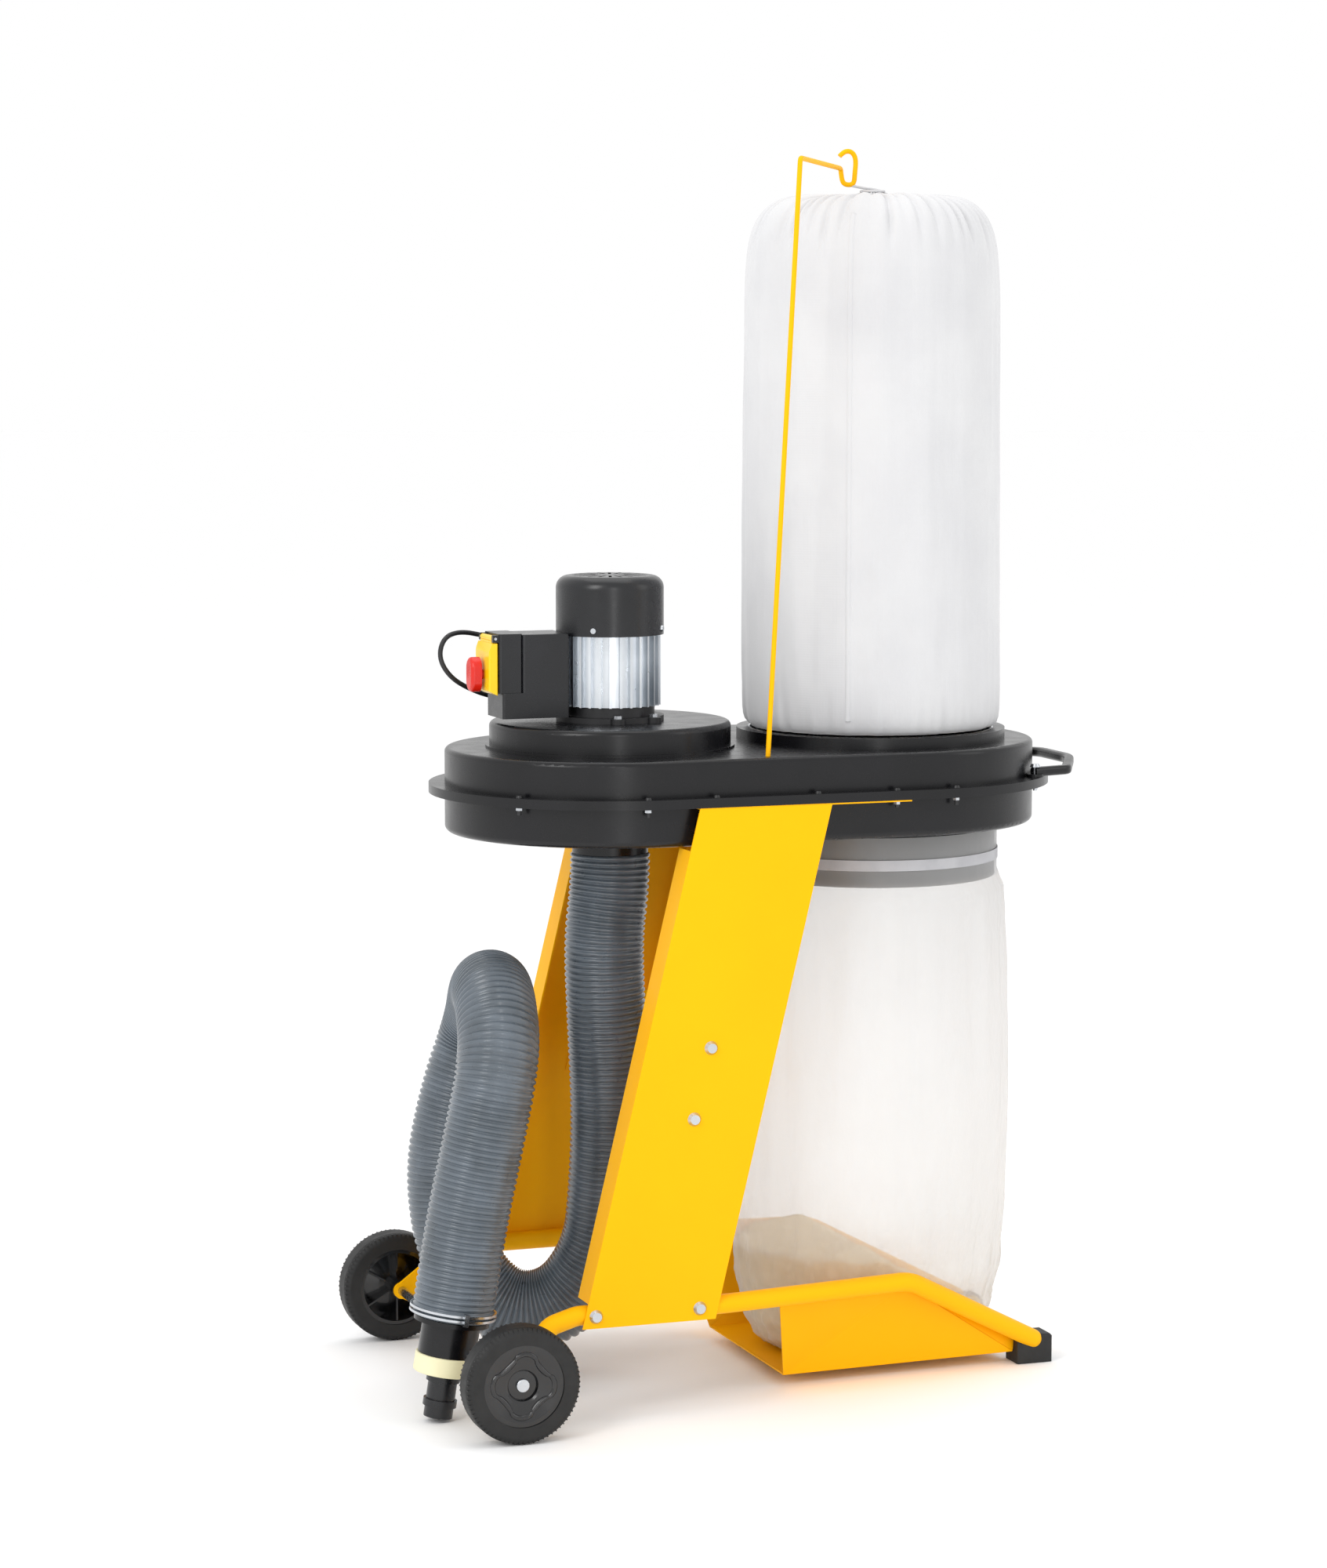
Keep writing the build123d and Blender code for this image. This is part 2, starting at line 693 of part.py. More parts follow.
gland_len = 22.0
gland_end_y = box_w / 2 + gland_len
lead_r = lead_d / 2
with BuildPart() as cable_gland:
    with BuildSketch(Plane(origin=(gland_x, box_w / 2 - 4, gland_z), z_dir=(0, 1, 0))):
        Circle(6)
    extrude(amount=4)
    with BuildSketch(Plane(origin=(gland_x, box_w / 2, gland_z), z_dir=(0, 1, 0))):
        RegularPolygon(8.5, 6)
    extrude(amount=6)
    with BuildSketch(Plane(origin=(gland_x, box_w / 2 + 6, gland_z), z_dir=(0, 1, 0))):
        Circle(6.5)
    extrude(amount=gland_len - 6, taper=8)
cable_gland.part.label = "cable_gland"
export_step(cable_gland.part, "parts/cable_gland.step")

# ---- mains lead ---------------------------------------------------------------------

lead_route = [
    (gland_x, gland_end_y, gland_z),
    (gland_x, 84, gland_z),
    (-316, 98, 974),
    (-350, 90, 981),
    (-378, 72, 975),
    (-390, 56, 950),
    (-376, 50, 924),
    (-344, 58, 906),
    (-306, 74, 894),
    (-262, 92, 886),
    (-214, 110, 882),
    (-174, 140, 880),
    (-148, 178, 874),
    (-138, 216, 862),
    (-133, 248, 838),
    (-130, 262, 796),
    (-128, 262, 724),
    (-125, 268, 640),
    (-126, 264, 552),
    (-122, 269, 462),
    (-124, 265, 372),
    (-120, 270, 282),
    (-122, 267, 196),
    (-118, 271, 122),
    (-114, 277, 64),
    (-102, 288, 22),
    (-72, 299, 5),
    (-34, 303, 4),
]
coil_turn_r = 34.0
coil_turns = 2.5
coil_x = -34.0
coil_y = 303.0 + coil_turn_r
coil_low_z = 0.4
coil_high_z = coil_low_z + (coil_turns + 1) * lead_d


def corner_radii(points, factor=0.45):
    """One radius per inner point: the largest arc that its two runs allow."""
    radii = []
    for before, here, after in zip(points, points[1:], points[2:]):
        run_in = Vector(*here) - Vector(*before)
        run_out = Vector(*after) - Vector(*here)
        turn = radians(run_in.get_angle(run_out))
        radii.append(factor * min(run_in.length, run_out.length) / tan(turn / 2))
    return radii


def tube_volume_share(part, length, diameter):
    """The solid's volume over its section times its length."""
    return part.volume / (pi * diameter**2 / 4 * length)


lead_radii = corner_radii(lead_route)
print("mains lead radii:", [round(r) for r in lead_radii])
with BuildPart() as mains_lead:
    with BuildLine() as lead_line:
        FilletPolyline(*lead_route, radius=lead_radii)
    with BuildSketch(Plane(origin=lead_route[0], z_dir=tuple(lead_line.line % 0))):
        Circle(lead_r)
    sweep()
lead_len = lead_line.wire().length
print("mains lead tube:", round(lead_len), "mm, volume share",
      round(tube_volume_share(mains_lead.part, lead_len, lead_d), 3))
mains_lead.part.label = "mains_lead"
export_step(mains_lead.part, "parts/mains_lead.step")

coil_gap = 0.4
plug_r = 15.3
plug_tail = 22.0
plug_x = coil_x - 40
plug_y = coil_y + coil_turn_r + 5
plug_z = plug_r + 0.2
tail_dir = (-14, 5, 0)
with BuildPart() as lead_coil:
    with BuildSketch(Plane.XY.offset(coil_low_z)):
        with Locations((coil_x, coil_y)):
            Circle(coil_turn_r + lead_r)
            Circle(coil_turn_r - lead_r, mode=Mode.SUBTRACT)
    extrude(amount=coil_high_z - coil_low_z)
    with BuildSketch(Plane(origin=lead_route[-1], z_dir=tuple(lead_line.line % 1))):
        Circle(lead_r + coil_gap)
    extrude(amount=-44, mode=Mode.SUBTRACT)
    with BuildSketch(Plane(origin=(coil_x - 4, coil_y + coil_turn_r, plug_z), z_dir=tail_dir)):
        Circle(lead_r)
    extrude(amount=15)
lead_coil.part.label = "lead_coil"
export_step(lead_coil.part, "parts/lead_coil.step")

with BuildPart() as plug:
    with BuildSketch(Plane(origin=(plug_x - 18, plug_y, plug_z), z_dir=(-1, 0, 0))):
        Circle(plug_r)
    extrude(amount=22)
    with BuildSketch(Plane(origin=(plug_x - 18, plug_y, plug_z), z_dir=(1, 0, 0))):
        Circle(plug_r)
    extrude(amount=18, taper=22)
    with BuildSketch(Plane(origin=(plug_x, plug_y, plug_z), z_dir=(1, 0, 0))):
        Circle(5.5)
    extrude(amount=plug_tail, taper=5)
plug.part.label = "plug"
export_step(plug.part, "parts/plug.step")

pin_gap = 9.5
with BuildPart() as plug_pins:
    with BuildSketch(Plane(origin=(plug_x - 40, plug_y, plug_z), x_dir=(0, 1, 0), z_dir=(-1, 0, 0))):
        with Locations((pin_gap, 0), (-pin_gap, 0)):
            Circle(2.4)
    extrude(amount=19)
plug_pins.part.label = "plug_pins"
export_step(plug_pins.part, "parts/plug_pins.step")

# ---- suction hose -------------------------------------------------------------------

hose_route = [
    (fan_x, 0, case_bottom_z - inlet_len),
    (fan_x, 0, 654),
    (fan_x - 10, 0, 580),
    (fan_x - 5, 1, 470),
    (fan_x + 3, 2, 350),
    (-170, 3, 240),
    (-168, 4, 150),
    (-222, 25, 84),
    (-302, 55, 80),
    (-360, 79, 142),
    (-381, 84, 264),
    (-357, 81, 380),
    (-325, 78, 465),
    (-338, 11, 534),
    (-359, -85, 534),
    (-373, -152, 465),
    (-397, -155, 354),
    (-422, -155, 243),
    (-439, -154, 132),
]
hose_r = hose_d / 2
hose_radii = corner_radii(hose_route)
print("hose radii:", [round(r) for r in hose_radii])
with BuildPart() as hose:
    with BuildLine() as hose_line:
        FilletPolyline(*hose_route, radius=hose_radii)
    with BuildSketch(Plane(origin=hose_route[0], z_dir=tuple(hose_line.line % 0))):
        Circle(hose_r)
    sweep()
hose_len = hose_line.wire().length
print("hose tube:", round(hose_len), "mm, volume share",
      round(tube_volume_share(hose.part, hose_len, hose_d), 3))
hose.part.label = "hose"
export_step(hose.part, "parts/hose.step")

clamp_wire_r = 1.5
clamp_gap = 0.4
inlet_clamp_z = case_bottom_z - inlet_len + 12
clamp_r = hose_r + clamp_gap
with BuildPart() as inlet_clamp:
    with BuildSketch(Plane.XY.offset(inlet_clamp_z)):
        with Locations((fan_x, 0)):
            Circle(clamp_r + 1.2)
            Circle(clamp_r, mode=Mode.SUBTRACT)
        with Locations((fan_x, -clamp_r - 5)):
            Rectangle(14, 9)
    extrude(amount=9)
inlet_clamp.part.label = "inlet_clamp"
export_step(inlet_clamp.part, "parts/inlet_clamp.step")

# the end fittings sit on the hose's last straight run
hose_end = Vector(*hose_route[-1])
end_dir = (hose_end - Vector(*hose_route[-2])).normalized()


def end_plane(along):
    """A plane square to the end of the hose, at a distance past its end."""
    return Plane(origin=tuple(hose_end + end_dir * along), z_dir=tuple(end_dir))


with BuildPart() as end_clamp:
    for along in (-13, -7):
        with BuildSketch(end_plane(along)):
            Circle(clamp_r + 2 * clamp_wire_r)
            Circle(clamp_r, mode=Mode.SUBTRACT)
        extrude(amount=2 * clamp_wire_r)
    with BuildSketch(end_plane(-16)):
        with Locations((0, clamp_r + 5), (0, -clamp_r - 5)):
            Rectangle(6, 8)
    extrude(amount=15)
end_clamp.part.label = "end_clamp"
export_step(end_clamp.part, "parts/end_clamp.step")

cup_r = 37.0
cup_len = 47.0
ring_r = 40.0
ring_w = 24.0
cup_wall = 3.0
with BuildPart() as adaptor_cup:
    with BuildSketch(end_plane(0)):
        Circle(hose_r - 4)
        Circle(cup_r - cup_wall, mode=Mode.SUBTRACT)
    extrude(amount=6)
    with BuildSketch(end_plane(6)):
        Circle(cup_r)
        Circle(cup_r - cup_wall, mode=Mode.SUBTRACT)
    extrude(amount=cup_len - 6)
adaptor_cup.part.label = "adaptor_cup"
export_step(adaptor_cup.part, "parts/adaptor_cup.step")

nozzle_r = 18.5
nozzle_len = 57.0
with BuildPart() as sealing_ring:
    with BuildSketch(end_plane(cup_len)):
        Circle(ring_r)
        Circle(nozzle_r, mode=Mode.SUBTRACT)
    extrude(amount=ring_w)
    fillet(sealing_ring.edges().filter_by(GeomType.CIRCLE).sort_by(SortBy.RADIUS)[-2:], 2)
sealing_ring.part.label = "sealing_ring"
export_step(sealing_ring.part, "parts/sealing_ring.step")

nozzle_wall = 2.5
with BuildPart() as nozzle:
    with BuildSketch(end_plane(cup_len)):
        Circle(nozzle_r)
    extrude(amount=ring_w + nozzle_len)
    for along in (ring_w + 2, ring_w + 34):
        with BuildSketch(end_plane(cup_len + along)):
            Circle(nozzle_r + 3)
        extrude(amount=9)
    with BuildSketch(end_plane(cup_len)):
        Circle(nozzle_r - nozzle_wall)
    extrude(amount=ring_w + nozzle_len, mode=Mode.SUBTRACT)
nozzle.part.label = "nozzle"
export_step(nozzle.part, "parts/nozzle.step")

# ---- bags ---------------------------------------------------------------------------

bag_low_z = deck_z + bag_ring_h
bag_plane = Plane(origin=(bag_x, 0, 0), x_dir=(1, 0, 0), z_dir=(0, -1, 0))
dome_r = 62.0
dome_flat_r = filter_bag_r - dome_r
with BuildPart() as filter_bag:
    with BuildSketch(bag_plane):
        with BuildLine():
            Polyline(
                (0, bag_low_z + cloth_t + 22),
                (0, filter_bag_top_z),
                (dome_flat_r - 40, filter_bag_top_z - 2),
                (dome_flat_r + 20, filter_bag_top_z - 10),
                (filter_bag_r - 16, filter_bag_top_z - 42),
                (filter_bag_r - 5, filter_bag_top_z - 90),
                (filter_bag_r, filter_bag_top_z - 260),
                (filter_bag_r + 1, bag_low_z + 60),
                (filter_bag_r, bag_low_z + 12),
                (filter_bag_r - 9, bag_low_z + 0.3),
                (collar_r - duct_wall - 8, bag_low_z + 0.3),
                (collar_r - duct_wall - 8, bag_low_z + cloth_t + 22),
                close=True,
            )
        make_face()
    revolve(axis=Axis((bag_x, 0, 0), (0, 0, 1)))
    with BuildSketch(bag_plane):
        with BuildLine():
            Polyline(
                (0, bag_low_z - 30),
                (0, filter_bag_top_z - cloth_t),
                (dome_flat_r - 40, filter_bag_top_z - cloth_t - 2),
                (filter_bag_r - 16 - cloth_t, filter_bag_top_z - 50),
                (filter_bag_r - cloth_t, filter_bag_top_z - 260),
                (filter_bag_r - cloth_t, bag_low_z + 14),
                (collar_r - duct_wall - 12, bag_low_z + cloth_t + 3),
                (collar_r - duct_wall - 12, bag_low_z - 30),
                close=True,
            )
        make_face()
    revolve(axis=Axis((bag_x, 0, 0), (0, 0, 1)), mode=Mode.SUBTRACT)
filter_bag.part.label = "filter_bag"
export_step(filter_bag.part, "parts/filter_bag.step")

snap_out_r = collar_r - duct_wall - 0.1
with BuildPart() as snap_ring:
    with BuildSketch(Plane.XY.offset(deck_z)):
        with Locations((bag_x, 0)):
            Circle(snap_out_r)
            Circle(snap_out_r - 3, mode=Mode.SUBTRACT)
    extrude(amount=bag_ring_h)
snap_ring.part.label = "snap_ring"
export_step(snap_ring.part, "parts/snap_ring.step")

# hanger rod: stands in the deck, reaches over the bag and holds its drawstring
with BuildPart() as hanger_rod:
    with BuildLine() as rod_line:
        FilletPolyline(*rod_route, radius=5)
    with BuildSketch(Plane(origin=rod_route[0], z_dir=tuple(rod_line.line % 0))):
        Circle(rod_r)
    sweep()
hanger_rod.part.label = "hanger_rod"
export_step(hanger_rod.part, "parts/hanger_rod.step")

# chip bag: a film skin, narrower between the side tubes, gathered over the collar
bag_levels = [
    (tray_z + sheet_t + 1, 128.0, 112.0),
    (tray_z + 22, 166.0, 122.0),
    (tube_z, chip_bag_r, 158.0),
    (tube_z + 90, chip_bag_r, chip_bag_r - 6),
    (420.0, chip_bag_r, chip_bag_r),
    (case_bottom_z - collar_len - 16, chip_bag_r - 8, chip_bag_r - 8),
    (case_bottom_z - collar_len + 8, collar_r + film_t + 0.5, collar_r + film_t + 0.5),
]
with BuildPart() as chip_bag:
    for skin, mode in ((0.0, Mode.ADD), (film_t, Mode.SUBTRACT)):
        floor_z = bag_levels[0][0] + skin
        for level_z, half_x, half_y in bag_levels:
            with BuildSketch(Plane.XY.offset(max(level_z, floor_z))):
                with Locations((bag_x, 0)):
                    Ellipse(half_x - skin, half_y - skin)
        loft(mode=mode)
    with BuildSketch(Plane.XY.offset(bag_levels[-1][0])):
        with Locations((bag_x, 0)):
            Circle(bag_levels[-1][1])
            Circle(bag_levels[-1][1] - film_t, mode=Mode.SUBTRACT)
    extrude(amount=collar_len - 12)
chip_bag.part.label = "chip_bag"
export_step(chip_bag.part, "parts/chip_bag.step")

band_z = bag_levels[-1][0] + 14
band_r = bag_levels[-1][1] + 0.1
with BuildPart() as bag_band:
    with BuildSketch(Plane.XY.offset(band_z)):
        with Locations((bag_x, 0)):
            Circle(band_r + band_t)
            Circle(band_r, mode=Mode.SUBTRACT)
    extrude(amount=band_w)
    lever_y = band_r + band_t
    with BuildSketch(Plane.XY.offset(band_z)):
        with Locations((bag_x + 8, lever_y + 4)):
            Rectangle(10, 10)
    extrude(amount=3)
    with BuildSketch(Plane.XY.offset(band_z + band_w - 3)):
        with Locations((bag_x + 8, lever_y + 4)):
            Rectangle(10, 10)
    extrude(amount=3)
    with BuildSketch(Plane.XY.offset(band_z - 1)):
        with Locations((bag_x + 8, lever_y + 5)):
            Circle(1.5)
    extrude(amount=band_w + 2)
bag_band.part.label = "bag_band"
export_step(bag_band.part, "parts/bag_band.step")

with BuildPart() as band_lever:
    with BuildSketch(Plane.XY.offset(band_z + 3.3)):
        with BuildLine():
            Polyline(
                (bag_x + 12, lever_y + 2),
                (bag_x + 12, lever_y + 8),
                (bag_x - 46, lever_y + 2),
                (bag_x - 46, lever_y - 1),
                (bag_x - 10, lever_y + 2),
                close=True,
            )
        make_face()
        with Locations((bag_x + 8, lever_y + 5)):
            Circle(1.55, mode=Mode.SUBTRACT)
    extrude(amount=band_w - 6.6)
band_lever.part.label = "band_lever"
export_step(band_lever.part, "parts/band_lever.step")

# ---- frame --------------------------------------------------------------------------


def leg_front_x(z):
    """The slanted front edge of a leg panel at a height."""
    return fan_x + leg_top_front + leg_slope * (z - strip_z)


def leg_back_x(z):
    """The slanted back edge of a leg panel at a height."""
    return leg_front_x(z) + leg_top_width


panel_bolt_places = [
    (leg_front_x(471) + 88, 471.0),
    (leg_front_x(381) + 87, 381.0),
    (fan_x + 40, tube_z),
    (fan_x - 99, tube_z),
]
panel_bolt_r = 4.0
lip_top_z = case_bottom_z - 3
lip_low_z = leg_bottom_z + 32
with BuildPart() as leg_left:
    with BuildSketch(Plane.XZ.offset(leg_inner_y)):
        with BuildLine():
            Polyline(
                (leg_front_x(strip_z), strip_z),
                (leg_back_x(strip_z), strip_z),
                (leg_back_x(leg_bottom_z), leg_bottom_z),
                (leg_front_x(leg_bottom_z), leg_bottom_z),
                close=True,
            )
        make_face()
        with Locations(*panel_bolt_places):
            Circle(panel_bolt_r + 0.2, mode=Mode.SUBTRACT)
    extrude(amount=sheet_t)
    for edge_x, shift in ((leg_front_x, 0.0), (leg_back_x, -sheet_t)):
        with BuildSketch(Plane.XZ.offset(leg_inner_y)):
            with BuildLine():
                Polyline(
                    (edge_x(lip_top_z) + shift, lip_top_z),
                    (edge_x(lip_top_z) + shift + sheet_t, lip_top_z),
                    (edge_x(lip_low_z) + shift + sheet_t, lip_low_z),
                    (edge_x(lip_low_z) + shift, lip_low_z),
                    close=True,
                )
            make_face()
        extrude(amount=-leg_lip)
    with BuildSketch(Plane.XY.offset(strip_z - sheet_t)):
        with BuildLine():
            Polyline(
                (fan_x + leg_top_front, -leg_y),
                (fan_x + leg_strip_end, -leg_y),
                (fan_x + leg_strip_end, -case_r - 1),
                (fan_x + leg_top_front, -case_r - 1),
                close=True,
            )
        make_face()
        for place_x, place_y in nut_places_strip:
            if place_y < 0:
                with Locations((place_x, place_y)):
                    Circle(screw_hole_r, mode=Mode.SUBTRACT)
    extrude(amount=sheet_t)
leg_left.part.label = "leg_left"
export_step(leg_left.part, "parts/leg_left.step")

with BuildPart() as leg_right:
    add(mirror(leg_left.part, about=Plane.XZ))
leg_right.part.label = "leg_right"
export_step(leg_right.part, "parts/leg_right.step")

# cross brace: a web between the legs with a bolted wing at each end
brace_low_z = 366.0
brace_top_z = 486.0
web_from_front = 88 + 40
wing_from_front = 88 - 16
with BuildPart() as cross_brace:
    with BuildSketch(Plane.XZ.offset(leg_inner_y - sheet_t)):
        with BuildLine():
            Polyline(
                (leg_front_x(brace_top_z) + web_from_front, brace_top_z),
                (leg_front_x(brace_top_z) + web_from_front + sheet_t, brace_top_z),
                (leg_front_x(brace_low_z) + web_from_front + sheet_t, brace_low_z),
                (leg_front_x(brace_low_z) + web_from_front, brace_low_z),
                close=True,
            )
        make_face()
    extrude(amount=-2 * (leg_inner_y - sheet_t))
    for wing_y in (leg_inner_y - sheet_t, -leg_inner_y):
        with BuildSketch(Plane.XZ.offset(wing_y)):
            with BuildLine():
                Polyline(
                    (leg_front_x(brace_top_z) + wing_from_front, brace_top_z),
                    (leg_front_x(brace_top_z) + web_from_front + sheet_t, brace_top_z),
                    (leg_front_x(brace_low_z) + web_from_front + sheet_t, brace_low_z),
                    (leg_front_x(brace_low_z) + wing_from_front, brace_low_z),
                    close=True,
                )
            make_face()
            with Locations(*panel_bolt_places[:2]):
                Circle(panel_bolt_r + 0.2, mode=Mode.SUBTRACT)
        extrude(amount=sheet_t)
cross_brace.part.label = "cross_brace"
export_step(cross_brace.part, "parts/cross_brace.step")

# side tube: from a plate on the axle, along the leg, then down to the foot
tube_y = leg_inner_y - tube_r
tab_t = 5.0
tab_y = leg_y + 14
foot_y = 128.0
foot_x = fan_x + tray_back + 27
tube_end_z = 32.0
tube_route = [
    (axle_x + 32, -tab_y + tab_t / 2 + 4, axle_z + 24),
    (fan_x - 160, -tube_y - 8, tube_z - 9),
    (fan_x - 120, -tube_y, tube_z),
    (fan_x + 78, -tube_y, tube_z),
    (bag_x - 15, -182, tube_z),
    (foot_x, -foot_y, tube_end_z),
]
with BuildPart() as tube_left:
    with BuildLine() as tube_line:
        FilletPolyline(*tube_route, radius=[30, 40, 300, 60])
    with BuildSketch(Plane(origin=tube_route[0], z_dir=tuple(tube_line.line % 0))):
        Circle(tube_r)
    sweep()
    with Locations(tube_route[-1]):
        Sphere(tube_r)
    with BuildSketch(Plane.XZ.offset(tab_y - tab_t)):
        with BuildLine():
            Polyline(
                (axle_x - 9, axle_z + 6),
                (axle_x + 34, axle_z + 38),
                (axle_x + 46, axle_z + 38),
                (axle_x + 46, axle_z + 6),
                (axle_x + 30, axle_z - 26),
                (axle_x - 9, axle_z - 6),
                close=True,
            )
        make_face()
        with Locations((axle_x, axle_z)):
            Circle(11)
            Circle(axle_r + 0.1, mode=Mode.SUBTRACT)
    extrude(amount=tab_t)
    for place_x, place_z in panel_bolt_places[2:]:
        with BuildSketch(Plane(origin=(place_x, -leg_inner_y, place_z), z_dir=(0, 1, 0))):
            Circle(panel_bolt_r + 0.2)
        extrude(amount=2 * tube_r + 6, mode=Mode.SUBTRACT)
tube_left.part.label = "tube_left"
export_step(tube_left.part, "parts/tube_left.step")

with BuildPart() as tube_right:
    add(mirror(tube_left.part, about=Plane.XZ))
tube_right.part.label = "tube_right"
export_step(tube_right.part, "parts/tube_right.step")

# tray: a floor with a sloping side up to each tube
tray_x0 = fan_x + tray_front
tray_x1 = fan_x + tray_back
side_low_z = tray_z + sheet_t / 2
side_points = [
    (tray_x0, -tray_half_front, side_low_z),
    (tray_x1, -tray_half_back, side_low_z),
    (tray_x1 + 4, -118, tube_end_z + 4),
    (bag_x - 13, -163, tube_z - 9),
    (tray_x0 - 25, -191, tube_z - 10),
]
with BuildPart() as tray:
    with BuildSketch(Plane.XY.offset(tray_z)):
        with BuildLine():
            Polyline(
                (tray_x0, -tray_half_front),
                (tray_x1, -tray_half_back),
                (tray_x1, tray_half_back),
                (tray_x0, tray_half_front),
                close=True,
            )
        make_face()
    extrude(amount=sheet_t)
    for corners in ((0, 1, 3), (0, 3, 4), (1, 2, 3)):
        face = Face(Wire.make_polygon([side_points[i] for i in corners]))
        add(Solid.extrude(face, face.normal_at() * sheet_t / 2))
        add(Solid.extrude(face, face.normal_at() * -sheet_t / 2))
    mirror(about=Plane.XZ)
tray.part.label = "tray"
export_step(tray.part, "parts/tray.step")

with BuildPart() as foot_left:
    with BuildSketch():
        with Locations((foot_x + 1, -foot_y + 13)):
            RectangleRounded(foot_len, foot_wid, 3)
    extrude(amount=foot_hgt)
    chamfer(foot_left.faces().sort_by(Axis.Z)[-1].edges(), 3)
    add(tube_left.part, mode=Mode.SUBTRACT)
    add(tray.part, mode=Mode.SUBTRACT)
foot_left.part.label = "foot_left"
export_step(foot_left.part, "parts/foot_left.step")

with BuildPart() as foot_right:
    add(mirror(foot_left.part, about=Plane.XZ))
foot_right.part.label = "foot_right"
export_step(foot_right.part, "parts/foot_right.step")

# dome-headed bolts through the leg panels, with their nuts on the far end
with BuildPart() as panel_bolts:
    for place_x, place_z in panel_bolt_places:
        grip = sheet_t * 2 + 5
        if place_z == tube_z:
            grip = sheet_t + 2 * tube_r + 4
        for side in (-1, 1):
            head = Plane(origin=(place_x, side * leg_y, place_z), z_dir=(0, side, 0))
            with BuildSketch(head):
                Circle(9)
            extrude(amount=4, taper=35)
            with BuildSketch(head):
                Circle(panel_bolt_r)
            extrude(amount=-grip)
panel_bolts.part.label = "panel_bolts"
export_step(panel_bolts.part, "parts/panel_bolts.step")

# ---- axle and wheels ----------------------------------------------------------------

cap_t = 4.0
axle_half = wheel_out_y - 9
with BuildPart() as axle:
    with BuildSketch(Plane(origin=(axle_x, 0, axle_z), z_dir=(0, -1, 0))):
        Circle(axle_r)
    extrude(amount=axle_half, both=True)
axle.part.label = "axle"
export_step(axle.part, "parts/axle.step")

with BuildPart() as axle_caps:
    for side in (-1, 1):
        with BuildSketch(Plane(origin=(axle_x, side * axle_half, axle_z), z_dir=(0, side, 0))):
            Circle(axle_r + 2.5)
        extrude(amount=cap_t)
    fillet(axle_caps.faces().sort_by(Axis.Y)[0].edges(), 1.5)
    fillet(axle_caps.faces().sort_by(Axis.Y)[-1].edges(), 1.5)
axle_caps.part.label = "axle_caps"
export_step(axle_caps.part, "parts/axle_caps.step")

wheel_plane = Plane(origin=(axle_x, 0, axle_z))
wheel_axis = Axis((axle_x, 0, axle_z), (0, 1, 0))
with BuildPart() as tyre_left:
    with BuildSketch(wheel_plane) as tyre_section:
        with Locations(((hub_r + wheel_r) / 2, -(wheel_out_y + tyre_in_y) / 2)):
            Rectangle(wheel_r - hub_r, wheel_w)
        fillet(tyre_section.vertices().sort_by(Axis.X)[-2:], 9)
    revolve(axis=wheel_axis)
tyre_left.part.label = "tyre_left"
export_step(tyre_left.part, "parts/tyre_left.step")

hub_face_y = wheel_out_y - 2
recess_r = 20.0
boss_r = 12.0
bore_r = axle_r + wheel_running_gap
boss_in_y = tab_y + 1
boss_out_y = axle_half - 0.4
with BuildPart() as hub_left:
    with BuildSketch(wheel_plane):
        with BuildLine():
            Polyline(
                (bore_r, -boss_in_y),
                (boss_r, -boss_in_y),
                (boss_r, -boss_out_y + 6),
                (recess_r, -boss_out_y + 5),
                (hub_r - 10, -hub_face_y + 7),
                (hub_r - 5, -tyre_in_y - 2),
                (hub_r, -tyre_in_y - 2),
                (hub_r, -hub_face_y),
                (hub_r - 6, -hub_face_y),
                (recess_r + 3, -hub_face_y + 4),
                (recess_r, -hub_face_y + 5),
                (recess_r - 2, -boss_out_y + 1),
                (bore_r, -boss_out_y),
                close=True,
            )
        make_face()
    revolve(axis=wheel_axis)
    with BuildSketch(Plane.XZ.offset(tyre_in_y + 4)):
        with Locations((axle_x, axle_z)):
            with PolarLocations((boss_r + hub_r) / 2 - 1.5, 6, start_angle=30):
                Rectangle(hub_r - boss_r + 1, 2.4)
    extrude(amount=hub_face_y - tyre_in_y - 13.5)
hub_left.part.label = "hub_left"
export_step(hub_left.part, "parts/hub_left.step")

with BuildPart() as tyre_right:
    add(mirror(tyre_left.part, about=Plane.XZ))
tyre_right.part.label = "tyre_right"
export_step(tyre_right.part, "parts/tyre_right.step")

with BuildPart() as hub_right:
    add(mirror(hub_left.part, about=Plane.XZ))
hub_right.part.label = "hub_right"
export_step(hub_right.part, "parts/hub_right.step")

# ---- handle -------------------------------------------------------------------------

